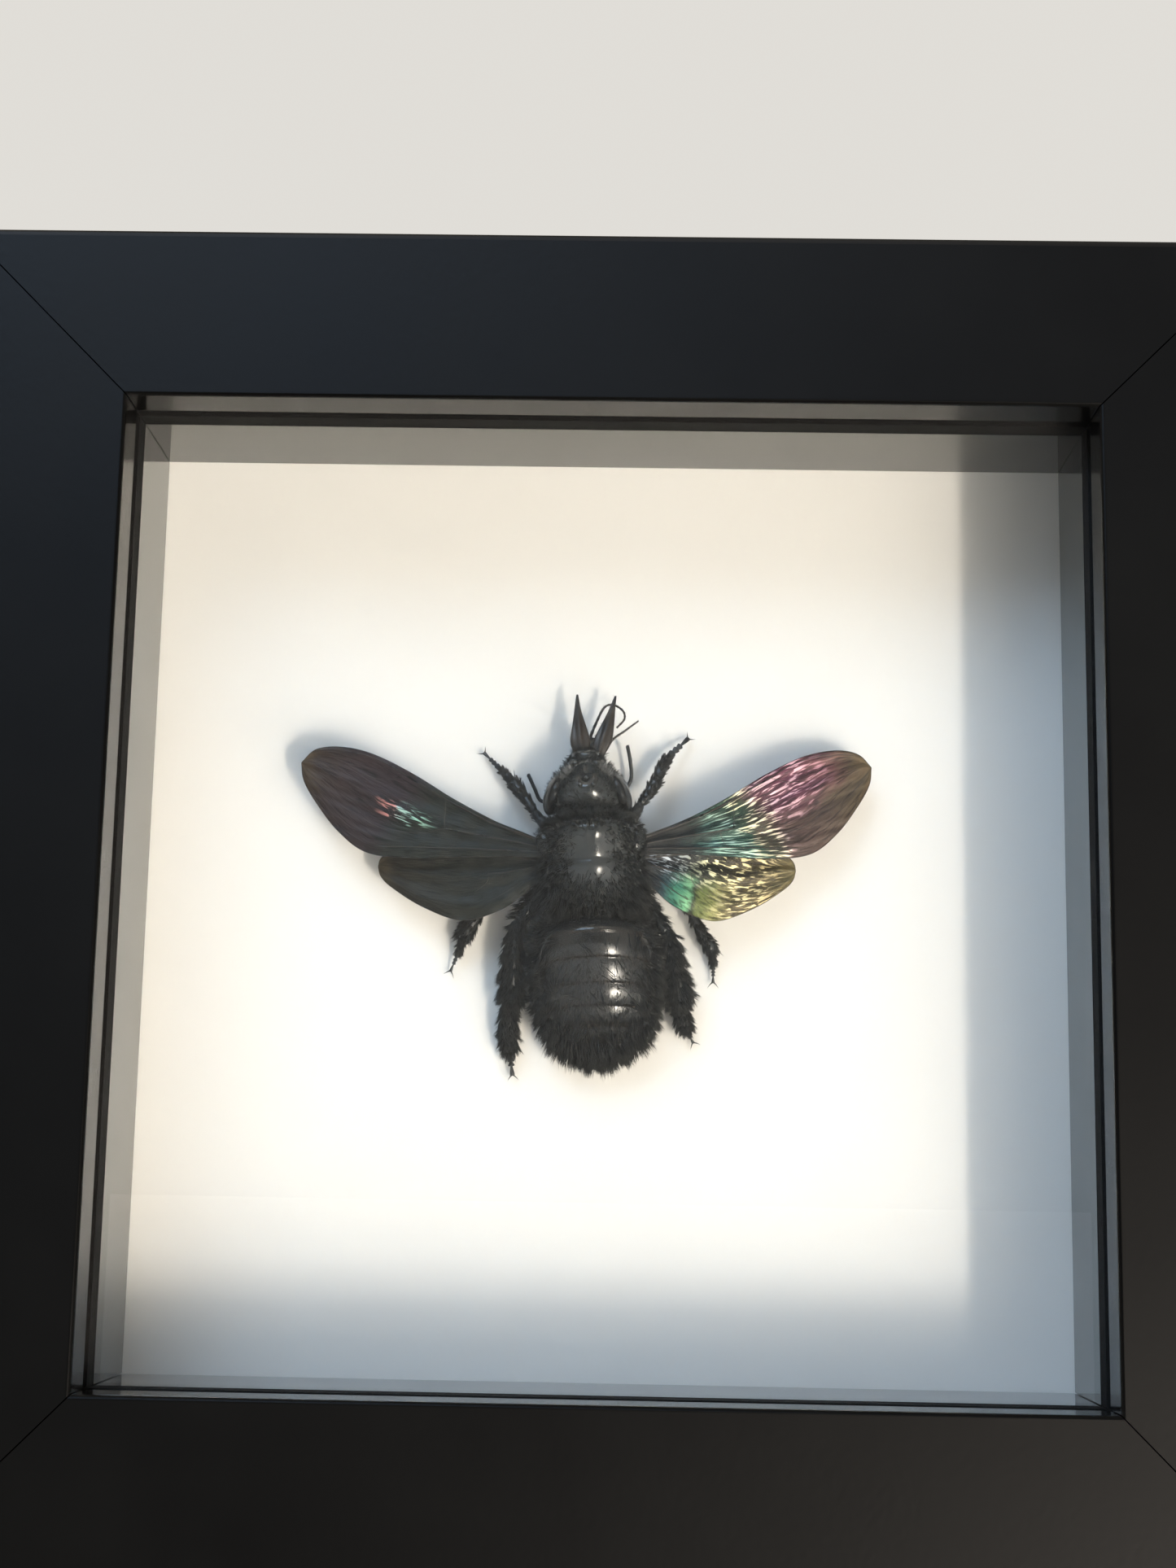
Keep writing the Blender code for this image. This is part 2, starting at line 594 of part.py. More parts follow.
TONGUE = ((-2.1, 18.4, 3.6, 0.5, 0.5), (-2.0, 20.3, 3.5, 0.42, 0.42), (-1.3, 22.3, 3.3, 0.36, 0.36),
          (-0.4, 24.1, 3.1, 0.32, 0.32), (0.7, 24.4, 3.0, 0.3, 0.3), (1.8, 23.7, 3.0, 0.3, 0.3),
          (2.0, 22.7, 3.0, 0.28, 0.28), (1.1, 21.6, 3.0, 0.26, 0.26))
PALP = ((-0.4, 18.4, 3.4, 0.4, 0.4), (0.6, 20.1, 3.1, 0.34, 0.34), (2.0, 21.2, 3.0, 0.3, 0.3),
        (3.7, 22.5, 3.0, 0.22, 0.22))


def feelers_and_mouth(bee, clear):
    for name, route in FEELERS.items():
        made = limb(f"bee_{name}", route, bee, "bee_black", extra=3)
        boolean(made, clear["head"], "DIFFERENCE")
    for name, route in BLADES.items():
        made = limb(f"bee_{name}", route, bee, "bee_brown", extra=3)
        boolean(made, clear["head"], "DIFFERENCE")
    for name, route in (("tongue", TONGUE), ("lip_feeler", PALP)):
        made = limb(f"bee_{name}", route, bee, "bee_brown", sides=6, extra=3)
        boolean(made, clear["head"], "DIFFERENCE")


# Wings


def wing(name, side, leading, trailing, root, sweep, droop, stretch, bee, clear):
    """A thin pleated plate between two smooth edges, drooping to its tip, with a thick vein along its front."""
    mirror = -1 if side == "left" else 1
    front = smooth_points(leading, WING_STATIONS)
    back = smooth_points(trailing, WING_STATIONS)
    reach = leading[-1][0]
    sheet = bmesh.new()
    rows = []
    edge = []

    def place(point):
        turned = Matrix.Rotation(sweep, 2) @ Vector((point.x * stretch, point.y))
        along = point.x / reach
        height = root[2] - droop * along ** 1.15 + 0.05 * point.y
        return Vector((mirror * (root[0] + turned.x), root[1] + turned.y, height))

    for one, two in zip(front, back):
        row = []
        pleat = PLEAT_DEPTH * min((one - two).length / 4, 1.0)
        for column, share in enumerate(WING_PLEATS):
            point = place(one.lerp(two, share))
            point.z += pleat * (-1) ** column
            row.append(sheet.verts.new(point))
        rows.append(row)
        edge.append(place(one.lerp(two, 0.03)))
    for here, there in zip(rows, rows[1:]):
        for column in range(len(WING_PLEATS) - 1):
            sheet.faces.new((here[column], here[column + 1], there[column + 1], there[column]))
    bmesh.ops.remove_doubles(sheet, verts=sheet.verts, dist=0.01)
    made = piece(name, sheet, bee, "bee_wing")
    plate = made.modifiers.new("membrane", "SOLIDIFY")
    plate.thickness = WING_THICKNESS * MM
    plate.offset = 0.0
    vein = []
    for number, point in enumerate(edge[:-2]):
        radius = COSTA_RADIUS * (1.5 - 0.9 * number / WING_STATIONS)
        vein.append((*point, radius, radius))
    boolean(made, cutter(f"{name}_vein", limb_mesh(vein, 8), bee), "UNION")
    boolean(made, clear["thorax"], "DIFFERENCE")
    return made


def wing_pieces(bee, clear):
    for side in ("left", "right"):
        fore = (WING_ROOT_X, FOREWING_ROOT_Y, FOREWING_ROOT_HEIGHT)
        hind = (WING_ROOT_X, HINDWING_ROOT_Y, HINDWING_ROOT_HEIGHT)
        wing(f"bee_forewing_{side}", side, FOREWING_LEADING, FOREWING_TRAILING, fore,
             FOREWING_SWEEP[side], FOREWING_DROOP[side], FOREWING_STRETCH[side], bee, clear)
        wing(f"bee_hindwing_{side}", side, HINDWING_LEADING, HINDWING_TRAILING, hind,
             HINDWING_SWEEP[side], HINDWING_DROOP, HINDWING_STRETCH[side], bee, clear)


def main():
    clear_scene()
    display = empty("display")
    display.rotation_euler = (math.radians(90), 0, 0)
    display.location = (0, DEPTH / 2 * MM, OUTER / 2 * MM)
    bee = empty("bee", display)
    bee.location = (BEE_X * MM, BEE_Y * MM, BACKDROP_FRONT * MM)
    bee.rotation_euler = (0, 0, BEE_LEAN)
    frame_pieces(display)
    fixing_tabs(display)
    sawtooth_hanger(display)
    body_pieces(bee)
    clear = clearances(bee)
    wing_pieces(bee, clear)
    leg_pieces(bee, clear)
    feelers_and_mouth(bee, clear)


main()
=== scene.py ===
import math

import bpy
import numpy as np
from mathutils import Matrix, Vector, noise


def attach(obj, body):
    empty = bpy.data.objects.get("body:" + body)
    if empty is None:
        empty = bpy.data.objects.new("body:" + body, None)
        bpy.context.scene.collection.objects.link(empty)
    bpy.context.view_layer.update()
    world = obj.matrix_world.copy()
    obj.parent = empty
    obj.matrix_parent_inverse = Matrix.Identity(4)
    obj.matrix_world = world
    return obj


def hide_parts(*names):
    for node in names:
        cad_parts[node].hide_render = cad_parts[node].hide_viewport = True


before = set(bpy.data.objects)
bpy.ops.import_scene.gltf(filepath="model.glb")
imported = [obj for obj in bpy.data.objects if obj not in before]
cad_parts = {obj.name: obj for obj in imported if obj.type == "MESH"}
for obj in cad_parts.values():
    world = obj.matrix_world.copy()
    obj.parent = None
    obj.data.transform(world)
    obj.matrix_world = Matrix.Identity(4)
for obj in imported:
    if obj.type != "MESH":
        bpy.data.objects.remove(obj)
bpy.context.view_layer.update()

# A glazed shadow box of black moulding with a dried carpenter bee glued to its white board. The frame, glass, board
# and fittings are the part's own nodes, which get their finishes here. The bee is modelled again in finer pieces,
# in millimetres in its own axes: x to its right, y towards its head, z away from the board.

MM = 0.001
OUTER, DEPTH, OPENING_HALF = 150.0, 35.0, 55.0
BACKDROP_FRONT = 9.6
BEE_X, BEE_Y, BEE_LEAN = -1.5, 4.4, math.radians(2.9)
UPRIGHT = Matrix.Translation((0, DEPTH / 2 * MM, OUTER / 2 * MM)) @ Matrix.Rotation(math.radians(90), 4, "X")
BEE = (UPRIGHT @ Matrix.Translation((BEE_X * MM, BEE_Y * MM, BACKDROP_FRONT * MM))
       @ Matrix.Rotation(BEE_LEAN, 4, "Z") @ Matrix.Scale(MM, 4))
LENGTHWISE = Matrix.Rotation(math.radians(90), 4, "X")


# Colours, nodes and finishes

def linear(code):
    """An sRGB hex colour as linear red, green, blue and alpha."""
    parts = [int(code[i:i + 2], 16) / 255 for i in (0, 2, 4)]
    return tuple(c / 12.92 if c <= 0.04045 else ((c + 0.055) / 1.055) ** 2.4 for c in parts) + (1.0,)


def add(tree, kind, inputs=None, stops=None, **settings):
    """Adds a node. Inputs, by socket name or number, are values, hex colours, outputs to link, or nodes whose first
    output is linked."""
    made = tree.nodes.new("ShaderNode" + kind)
    for name, value in settings.items():
        setattr(made, name, value)
    if stops:
        elements = made.color_ramp.elements
        while len(elements) < len(stops):
            elements.new(1.0)
        for element, (place, code) in zip(elements, stops):
            element.position = place
            element.color = linear(code)
    for name, value in (inputs or {}).items():
        socket = made.inputs[name]
        if isinstance(value, bpy.types.Node):
            value = value.outputs[0]
        if isinstance(value, bpy.types.NodeSocket):
            tree.links.new(value, socket)
        elif isinstance(value, str):
            socket.default_value = linear(value)
        else:
            socket.default_value = value
    return made


def finish_of(name, build):
    """A material whose nodes are laid out by build, which returns the node that ends them."""
    made = bpy.data.materials.new(name)
    made.use_nodes = True
    tree = made.node_tree
    tree.nodes.clear()
    tree.links.new(build(tree).outputs[0], tree.nodes.new("ShaderNodeOutputMaterial").inputs[0])
    return made


def satin_lacquer(tree):
    """Black lacquer sprayed on a wood moulding: even and satin, with a slight orange peel and rubbed edges."""
    place = add(tree, "TexCoord").outputs["Object"]
    split = add(tree, "SeparateXYZ", {0: place})
    across = add(tree, "Math", {0: split.outputs["X"]}, operation="ABSOLUTE")
    centred = add(tree, "Math", {0: split.outputs["Z"], 1: OUTER / 2 * MM}, operation="SUBTRACT")
    upward = add(tree, "Math", {0: centred}, operation="ABSOLUTE")
    from_middle = add(tree, "Math", {0: across, 1: upward}, operation="MAXIMUM")
    inner_side = add(tree, "MapRange", {"Value": from_middle, "From Min": (OPENING_HALF + 0.1) * MM,
                                        "From Max": (OPENING_HALF + 0.6) * MM, "To Min": 1.0, "To Max": 0.0})
    outer_edge = add(tree, "MapRange", {"Value": from_middle, "From Min": (OUTER / 2 - 0.8) * MM,
                                        "From Max": (OUTER / 2 - 0.1) * MM})
    cloud = add(tree, "TexNoise", {"Vector": place, "Scale": 38.0, "Detail": 3.0, "Roughness": 0.6})
    rubbed = add(tree, "TexNoise", {"Vector": place, "Scale": 900.0, "Detail": 4.0, "Roughness": 0.7})
    wear = add(tree, "Math", {0: outer_edge, 1: rubbed}, operation="MULTIPLY")
    colour = add(tree, "ValToRGB", {0: cloud}, stops=[(0.3, "080808"), (0.7, "0C0C0B")])
    worn = add(tree, "MixRGB", {0: wear, 1: colour, 2: "2A2824"})
    dull = add(tree, "MapRange", {"Value": cloud, "To Min": 0.38, "To Max": 0.48})
    sheen = add(tree, "MapRange", {"Value": inner_side, "To Min": 0.0, "To Max": -0.26})
    rough = add(tree, "Math", {0: dull, 1: sheen}, operation="ADD")
    # Real orange peel is about 0.5 mm from crest to crest; it is drawn at 0.9 mm so that it shows.
    peel = add(tree, "TexNoise", {"Vector": place, "Scale": 1100.0, "Detail": 1.0})
    bump = add(tree, "Bump", {"Strength": 0.10, "Distance": 0.0001, "Height": peel})
    return add(tree, "BsdfPrincipled", {"Base Color": worn, "Roughness": rough, "Normal": bump, "IOR": 1.34})


def gloss_film(tree):
    """Black plastic film laid on the inner walls: so smooth that it mirrors the board where it is seen aslant."""
    place = add(tree, "TexCoord").outputs["Object"]
    cloud = add(tree, "TexNoise", {"Vector": place, "Scale": 60.0, "Detail": 3.0})
    colour = add(tree, "ValToRGB", {0: cloud}, stops=[(0.3, "08080A"), (0.7, "0C0C0D")])
    rough = add(tree, "MapRange", {"Value": cloud, "To Min": 0.05, "To Max": 0.12})
    # The film's slow waves are about 6 mm long, from the strip that it is glued to.
    wave = add(tree, "TexNoise", {"Vector": place, "Scale": 160.0, "Detail": 0.0})
    bump = add(tree, "Bump", {"Strength": 0.05, "Distance": 0.0001, "Height": wave})
    return add(tree, "BsdfPrincipled", {"Base Color": colour, "Roughness": rough, "Normal": bump, "IOR": 1.5,
                                        "Coat Weight": 0.5, "Coat Roughness": 0.04, "Coat IOR": 1.5})


def picture_glass(tree):
    """Clear float glass, faintly green, with a faint white haze that is a painted reflection of the room. It lets the
    lamps' light through.
    """
    # Transmission stops short of 1 so that the white base shows as a faint haze: a painted reflection of the room.
    pane = add(tree, "BsdfPrincipled", {"Base Color": "FCFEFD", "Roughness": 0.0, "IOR": 1.5,
                                        "Transmission Weight": 0.993})
    clear = add(tree, "BsdfTransparent", {"Color": "FBFCFC"})
    rays = add(tree, "LightPath")
    return add(tree, "MixShader", {0: rays.outputs["Is Shadow Ray"], 1: pane, 2: clear})


def paper(tree, light, dark, roughness, fibre, depth, gleam=0.5):
    """Card faced with paper: short fibres in every direction, a soft tooth and a few paler specks."""
    place = add(tree, "TexCoord").outputs["Object"]
    pulp = add(tree, "TexNoise", {"Vector": place, "Scale": 1 / fibre, "Detail": 6.0, "Roughness": 0.72,
                                  "Distortion": 1.2})
    cloud = add(tree, "TexNoise", {"Vector": place, "Scale": 25.0, "Detail": 2.0})
    tone = add(tree, "Math", {0: pulp, 1: cloud, 2: 0.12}, operation="MULTIPLY_ADD")
    colour = add(tree, "ValToRGB", {0: tone}, stops=[(0.2, dark), (0.55, light)])
    rough = add(tree, "MapRange", {"Value": pulp, "To Min": roughness - 0.08, "To Max": roughness + 0.06})
    bump = add(tree, "Bump", {"Strength": 0.45, "Distance": depth, "Height": pulp})
    return add(tree, "BsdfPrincipled", {"Base Color": colour, "Roughness": rough, "Normal": bump,
                                        "Specular IOR Level": gleam})


def white_board(tree):
    """Acid-free mounting board, warm white and matt."""
    return paper(tree, "F6F4F0", "F0EDE8", 0.86, 0.0006, 0.00003)


def black_card(tree):
    """The spacer's dyed black card: dead matt, with a fine grey fibre."""
    return paper(tree, "0B0909", "060505", 0.92, 0.0005, 0.00005, gleam=0.12)


def hardboard(tree):
    """Pressed fibreboard: mottled brown, with coarse dark and pale fibres and a waxy face."""
    place = add(tree, "TexCoord").outputs["Object"]
    stretched = add(tree, "Mapping", {"Vector": place, "Scale": (1.0, 1.0, 2.2), "Rotation": (0, 0.5, 0)})
    fibre = add(tree, "TexNoise", {"Vector": stretched, "Scale": 520.0, "Detail": 8.0, "Roughness": 0.75,
                                   "Distortion": 2.5})
    cloud = add(tree, "TexNoise", {"Vector": place, "Scale": 60.0, "Detail": 3.0})
    soft = add(tree, "MapRange", {"Value": cloud, "To Min": 0.5, "To Max": 0.9})
    mixed = add(tree, "Math", {0: fibre, 1: soft, 2: 0.12}, operation="MULTIPLY_ADD")
    colour = add(tree, "ValToRGB", {0: mixed},
                 stops=[(0.22, "4A331F"), (0.4, "7A5837"), (0.52, "8E6A45"), (0.66, "B08A60")])
    rough = add(tree, "MapRange", {"Value": fibre, "To Min": 0.55, "To Max": 0.8})
    bump = add(tree, "Bump", {"Strength": 0.5, "Distance": 0.00008, "Height": fibre})
    return add(tree, "BsdfPrincipled", {"Base Color": colour, "Roughness": rough, "Normal": bump})


def zinc_plate(tree):
    """Stamped steel with bright zinc: small crystals of slightly different grey and a few drag marks."""
    place = add(tree, "TexCoord").outputs["Object"]
    crystal = add(tree, "TexVoronoi", {"Vector": place, "Scale": 900.0})
    drag = add(tree, "Mapping", {"Vector": place, "Scale": (1.0, 1.0, 14.0)})
    marks = add(tree, "TexNoise", {"Vector": drag, "Scale": 700.0, "Detail": 5.0})
    colour = add(tree, "ValToRGB", {0: crystal.outputs["Color"]}, stops=[(0.0, "A9ADB0"), (1.0, "C6C8C8")])
    rough = add(tree, "MapRange", {"Value": marks, "To Min": 0.22, "To Max": 0.48})
    bump = add(tree, "Bump", {"Strength": 0.2, "Distance": 0.00003, "Height": marks})
    return add(tree, "BsdfPrincipled", {"Base Color": colour, "Roughness": rough, "Normal": bump, "Metallic": 1.0})


def chitin(tree, light, dark, shine, pit, depth, rim=None, index=1.56):
    """Hard insect skin: almost black, glossy between close small pits. A rim colour shows where the skin thins."""
    place = add(tree, "TexCoord").outputs["Object"]
    pits = add(tree, "TexVoronoi", {"Vector": place, "Scale": 1 / pit, "Randomness": 0.85}, feature="SMOOTH_F1")
    grain = add(tree, "TexNoise", {"Vector": place, "Scale": 2.5 / pit, "Detail": 3.0})
    cloud = add(tree, "TexNoise", {"Vector": place, "Scale": 420.0, "Detail": 3.0})
    colour = add(tree, "ValToRGB", {0: cloud}, stops=[(0.35, dark), (0.7, light)])
    if rim:
        thin = add(tree, "Attribute", attribute_name="thin")
        colour = add(tree, "MixRGB", {0: thin.outputs["Fac"], 1: colour, 2: rim})
    rough = add(tree, "MapRange", {"Value": cloud, "To Min": shine - 0.03, "To Max": shine + 0.03})
    bump = add(tree, "Bump", {"Strength": 0.6, "Distance": depth, "Height": pits.outputs["Distance"]})
    fine = add(tree, "Bump", {"Strength": 0.25, "Distance": depth * 0.5, "Height": grain, "Normal": bump})
    return add(tree, "BsdfPrincipled", {"Base Color": colour, "Roughness": rough, "Normal": fine, "IOR": index})


def pitted_chitin(tree):
    """Thorax and head. Pits are 0.08 mm on the animal and are drawn at 0.16 mm so that they show."""
    return chitin(tree, "363837", "292B2B", 0.15, 0.00016, 0.0000025, index=1.7)


def plate_chitin(tree):
    """The abdomen's plates: as glossy, with wider pits, 0.21 mm as drawn, and a brown cast at the plates' rims."""
    return chitin(tree, "2D2C2A", "222221", 0.15, 0.00021, 0.0000025, rim="261F18", index=1.7)


def leg_chitin(tree):
    """Legs and feelers: ribbed and a little duller."""
    return chitin(tree, "2E3031", "242627", 0.34, 0.00018, 0.00002)


def horn_brown(tree):
    """Mouthparts: thin horny skin, brownish black."""
    return chitin(tree, "30281F", "221E1B", 0.45, 0.00022, 0.00001)


def compound_eye(tree):
    """Thousands of lenses that read as a smooth, very glossy dome; they are drawn at 0.09 mm, three times real size."""
    place = add(tree, "TexCoord").outputs["Object"]
    lens = add(tree, "TexVoronoi", {"Vector": place, "Scale": 11000.0, "Randomness": 0.25})
    cloud = add(tree, "TexNoise", {"Vector": place, "Scale": 600.0, "Detail": 2.0})
    colour = add(tree, "ValToRGB", {0: cloud}, stops=[(0.3, "1E1F1F"), (0.75, "282827")])
    bump = add(tree, "Bump", {"Strength": 0.15, "Distance": 0.00001, "Height": lens.outputs["Distance"]})
    return add(tree, "BsdfPrincipled", {"Base Color": colour, "Roughness": 0.1, "IOR": 1.5, "Normal": bump})


def bristle(tree):
    """Black hair: dull, with a soft sheen and a brownish tone that varies from place to place."""
    place = add(tree, "TexCoord").outputs["Object"]
    strand = add(tree, "TexNoise", {"Vector": place, "Scale": 1500.0, "Detail": 2.0})
    colour = add(tree, "ValToRGB", {0: strand}, stops=[(0.3, "202120"), (0.8, "33332F")])
    return add(tree, "BsdfPrincipled", {"Base Color": colour, "Roughness": 0.55, "IOR": 1.45})


def wing_film(tree, front, hind, glints, painted_glint_front, painted_glint_hind, slant=0.0, spot=None):
    """Smoked wing membrane, whose thin layers shimmer; the shimmer is painted into its colour. Each band of colours
    runs from root to tip: one for the front half, one for the hind half, and one for the painted glints on its
    wrinkles, which are as dense as the glint bands say. Painted shade darkens the wrinkles' furrows. Slant turns the
    wrinkles on the wing's chart, and a spot keeps the painted glints to one place on it."""
    uv = add(tree, "TexCoord").outputs["UV"]
    split = add(tree, "SeparateXYZ", {0: uv})
    place = add(tree, "TexCoord").outputs["Object"]
    wander = add(tree, "TexNoise", {"Vector": place, "Scale": 420.0, "Detail": 4.0, "Roughness": 0.65})
    shift = add(tree, "MapRange", {"Value": wander, "To Min": -0.1, "To Max": 0.1})
    along = add(tree, "Math", {0: split.outputs["X"], 1: shift}, operation="ADD")
    across = add(tree, "Math", {0: split.outputs["Y"], 1: shift}, operation="ADD")
    behind = add(tree, "MapRange", {"Value": across, "From Min": 0.38, "From Max": 0.62})
    front_band, hind_band = (add(tree, "ValToRGB", {0: along}, stops=band) for band in (front, hind))
    plain = add(tree, "MixRGB", {0: behind, 1: front_band, 2: hind_band})
    # The wrinkles fan out lengthwise. They are 0.1 mm wide on the animal and are drawn at 0.25 mm so that they show.
    stretched = add(tree, "Mapping", {"Vector": uv, "Scale": (0.085, 0.033, 1.0), "Rotation": (0.0, 0.0, slant)},
                    vector_type="TEXTURE")
    wrinkle = add(tree, "TexNoise", {"Vector": stretched, "Scale": 1.0, "Detail": 2.0, "Roughness": 0.55,
                                     "Distortion": 0.5})
    # Painted highlights: glints on the wrinkles' crests. Painted shade: darker furrows between them.
    crest = add(tree, "MapRange", {"Value": wrinkle, "From Min": 0.54, "From Max": 0.61})
    painted_furrow_shade = add(tree, "MapRange", {"Value": wrinkle, "From Min": 0.36, "From Max": 0.5, "To Min": 0.35})
    film = add(tree, "VectorMath", {0: plain, 1: painted_furrow_shade}, operation="MULTIPLY")
    share = add(tree, "MixRGB", {0: behind, 1: add(tree, "ValToRGB", {0: along}, stops=painted_glint_front),
                                 2: add(tree, "ValToRGB", {0: along}, stops=painted_glint_hind)})
    painted_glint_mask = add(tree, "Math", {0: crest, 1: share}, operation="MULTIPLY")
    if spot:
        away = add(tree, "VectorMath", {0: uv, 1: spot}, operation="DISTANCE").outputs["Value"]
        inside = add(tree, "MapRange", {"Value": away, "From Min": 0.08, "From Max": 0.15, "To Min": 1.0,
                                        "To Max": 0.0})
        painted_glint_mask = add(tree, "Math", {0: painted_glint_mask, 1: inside}, operation="MULTIPLY")
    glint = add(tree, "ValToRGB", {0: along}, stops=glints)
    colour = add(tree, "MixRGB", {0: painted_glint_mask, 1: film, 2: glint})
    cells = add(tree, "TexNoise", {"Vector": place, "Scale": 2200.0, "Detail": 3.0, "Roughness": 0.6})
    coarse = add(tree, "Bump", {"Strength": 0.8, "Distance": 0.00012, "Height": wrinkle})
    fine = add(tree, "Bump", {"Strength": 0.5, "Distance": 0.00003, "Height": cells, "Normal": coarse})
    rough = add(tree, "MapRange", {"Value": painted_glint_mask, "To Min": 0.46, "To Max": 0.28})
    return add(tree, "BsdfPrincipled", {"Base Color": colour, "Metallic": 0.25, "IOR": 1.4,
                                        "Roughness": rough, "Normal": fine})


def forewing_film_right(tree):
    """The side that catches the light, painted as the lit copy of the membrane: blue-black, bottle green, gold, then
    rose, as they shine in the window's light, with smoke-brown edges and dense painted glints.
    """
    return wing_film(
        tree,
        [(0.0, "0D0F10"), (0.2, "121716"), (0.3, "203A33"), (0.4, "2C4234"), (0.46, "3C3A2A"), (0.51, "54303C"),
         (0.66, "643848"), (0.82, "5C3A3C"), (0.93, "4E4030"), (1.0, "6A5A40")],
        [(0.0, "0D0F11"), (0.18, "12191B"), (0.27, "1F433E"), (0.4, "264A3F"), (0.46, "403C2E"), (0.52, "4A3834"),
         (0.75, "4C3E36"), (0.9, "4E4232"), (1.0, "6A5A42")],
        [(0.08, "98A4A6"), (0.25, "A6D0C2"), (0.36, "CCE8D8"), (0.41, "F4ECC4"), (0.49, "FFEED6"), (0.55, "F4CCD4"),
         (0.78, "DCA6B4"), (0.95, "B4987E")],
        [(0.0, "080808"), (0.2, "101010"), (0.3, "909090"), (0.38, "FFFFFF"), (0.7, "FFFFFF"), (0.82, "606060"),
         (0.93, "101010")],
        [(0.0, "101010"), (0.2, "505050"), (0.3, "FFFFFF"), (0.42, "D0D0D0"), (0.5, "FFFFFF"), (0.55, "606060"),
         (0.62, "101010"), (1.0, "060606")])


def hindwing_film_right(tree):
    """The hind wing on that side, painted as the lit copy: navy at its root, a green and a lime patch behind, painted
    gold glints on the wrinkles outside.
    """
    return wing_film(
        tree,
        [(0.0, "181B22"), (0.3, "1A2228"), (0.5, "26291F"), (0.65, "3A3422"), (0.85, "4A4228"), (1.0, "665C3C")],
        [(0.0, "14181C"), (0.2, "161F24"), (0.25, "1E3C42"), (0.31, "3A7862"), (0.4, "6CA47A"), (0.45, "2C3626"),
         (0.5, "66703F"), (0.57, "848550"), (0.65, "78704A"), (0.7, "544A30"), (0.85, "584E32"), (1.0, "6A603E")],
        [(0.05, "C8D4EA"), (0.28, "D8E4EC"), (0.42, "E8ECC8"), (0.6, "F4E8B4"), (0.85, "E8D6A4"), (1.0, "A89468")],
        [(0.0, "505050"), (0.22, "D0D0D0"), (0.4, "909090"), (0.52, "FFFFFF"), (0.84, "E0E0E0"), (0.94, "202020")],
        [(0.0, "303030"), (0.2, "303030"), (0.5, "282828"), (0.6, "909090"), (0.7, "FFFFFF"), (0.86, "E0E0E0"),
         (0.94, "202020")], slant=0.75)


def forewing_film_left(tree):
    """The side turned from the light, painted as the shaded copy of the membrane: greenish black, then a purple brown,
    with a few painted glints in one spot in its middle.
    """
    return wing_film(
        tree,
        [(0.0, "222624"), (0.46, "252823"), (0.56, "2E2426"), (0.8, "362B2B"), (0.95, "3A302A"), (1.0, "4A3E30")],
        [(0.0, "222624"), (0.5, "252823"), (0.6, "30282A"), (0.85, "382D2B"), (1.0, "4C4032")],
        [(0.3, "6A766C"), (0.46, "9CC8B4"), (0.54, "B4D0C8"), (0.58, "D8948C"), (0.8, "765C58")],
        [(0.0, "FFFFFF"), (1.0, "FFFFFF")], [(0.0, "FFFFFF"), (1.0, "FFFFFF")], spot=(0.53, 0.46, 0.0))


def hindwing_film_left(tree):
    """The hind wing on the side turned from the light, painted as the shaded copy: greenish black to its brown edge."""
    band = [(0.0, "222624"), (0.6, "262823"), (0.9, "2E2B24"), (1.0, "443B2C")]
    return wing_film(tree, band, band, [(0.0, "5E6A60"), (1.0, "7A6A50")],
                     [(0.0, "080808"), (1.0, "101010")], [(0.0, "080808"), (1.0, "101010")])


def wing_vein(tree):
    """The wing's veins: round, dark brown and glossy."""
    return chitin(tree, "2E241C", "1E1A17", 0.28, 0.0002, 0.000008)


def studio_paper(tree):
    """The floor's plain pale paper."""
    place = add(tree, "TexCoord").outputs["Object"]
    cloud = add(tree, "TexNoise", {"Vector": place, "Scale": 3.0, "Detail": 2.0})
    colour = add(tree, "ValToRGB", {0: cloud}, stops=[(0.3, "F2F0EC"), (0.7, "F5F3EF")])
    return add(tree, "BsdfPrincipled", {"Base Color": colour, "Roughness": 0.9})


FINISHES = {build.__name__: finish_of(build.__name__, build) for build in (
    satin_lacquer, gloss_film, picture_glass, white_board, black_card, hardboard, zinc_plate, pitted_chitin,
    plate_chitin, leg_chitin, horn_brown, compound_eye, bristle, forewing_film_right, hindwing_film_right,
    forewing_film_left, hindwing_film_left, wing_vein, studio_paper)}


# Modelling piece by piece, in code

def alone(thing):
    """Only this thing is selected, and it is the active one."""
    bpy.ops.object.select_all(action="DESELECT")
    thing.select_set(True)
    bpy.context.view_layer.objects.active = thing


def applied(thing, kind, **settings):
    """Adds a modifier with these settings and applies it."""
    alone(thing)
    modifier = thing.modifiers.new(kind.lower(), kind)
    for name, value in settings.items():
        setattr(modifier, name, value)
    bpy.ops.object.modifier_apply(modifier=modifier.name)
    return thing


def turned(thing, matrix):
    """Puts the thing in its place and keeps the place in its mesh."""
    alone(thing)
    thing.matrix_world = matrix @ thing.matrix_world
    bpy.ops.object.transform_apply(location=True, rotation=True, scale=True)
    return thing


def joined(things):
    """One object from several."""
    alone(things[0])
    for thing in things[1:]:
        thing.select_set(True)
    if len(things) > 1:
        bpy.ops.object.join()
    return things[0]


def smooth_path(points, count):
    """Points along a smooth curve through a few given ones, of any number of values each."""
    given = [Vector(p) for p in points]
    given = [given[0] * 2 - given[1], *given, given[-1] * 2 - given[-2]]
    spans = len(given) - 3
    found = []
    for step in range(count):
        place = min(step / (count - 1) * spans, spans - 1e-9)
        i, t = int(place), place - int(place)
        a, b, c, d = given[i:i + 4]
        found.append(0.5 * (2 * b + (c - a) * t + (2 * a - 5 * b + 4 * c - d) * t * t
                            + (3 * b - a - 3 * c + d) * t * t * t))
    return found


def bell(distance, width, power=2):
    """1 at no distance and next to nothing past the width. Takes one number or many."""
    return np.exp(-(distance / width) ** power)


def rise(value, start, span):
    """0 before start, 1 past start and span, and even in between; it falls where the span is negative."""
    return np.clip((value - start) / span, 0.0, 1.0)


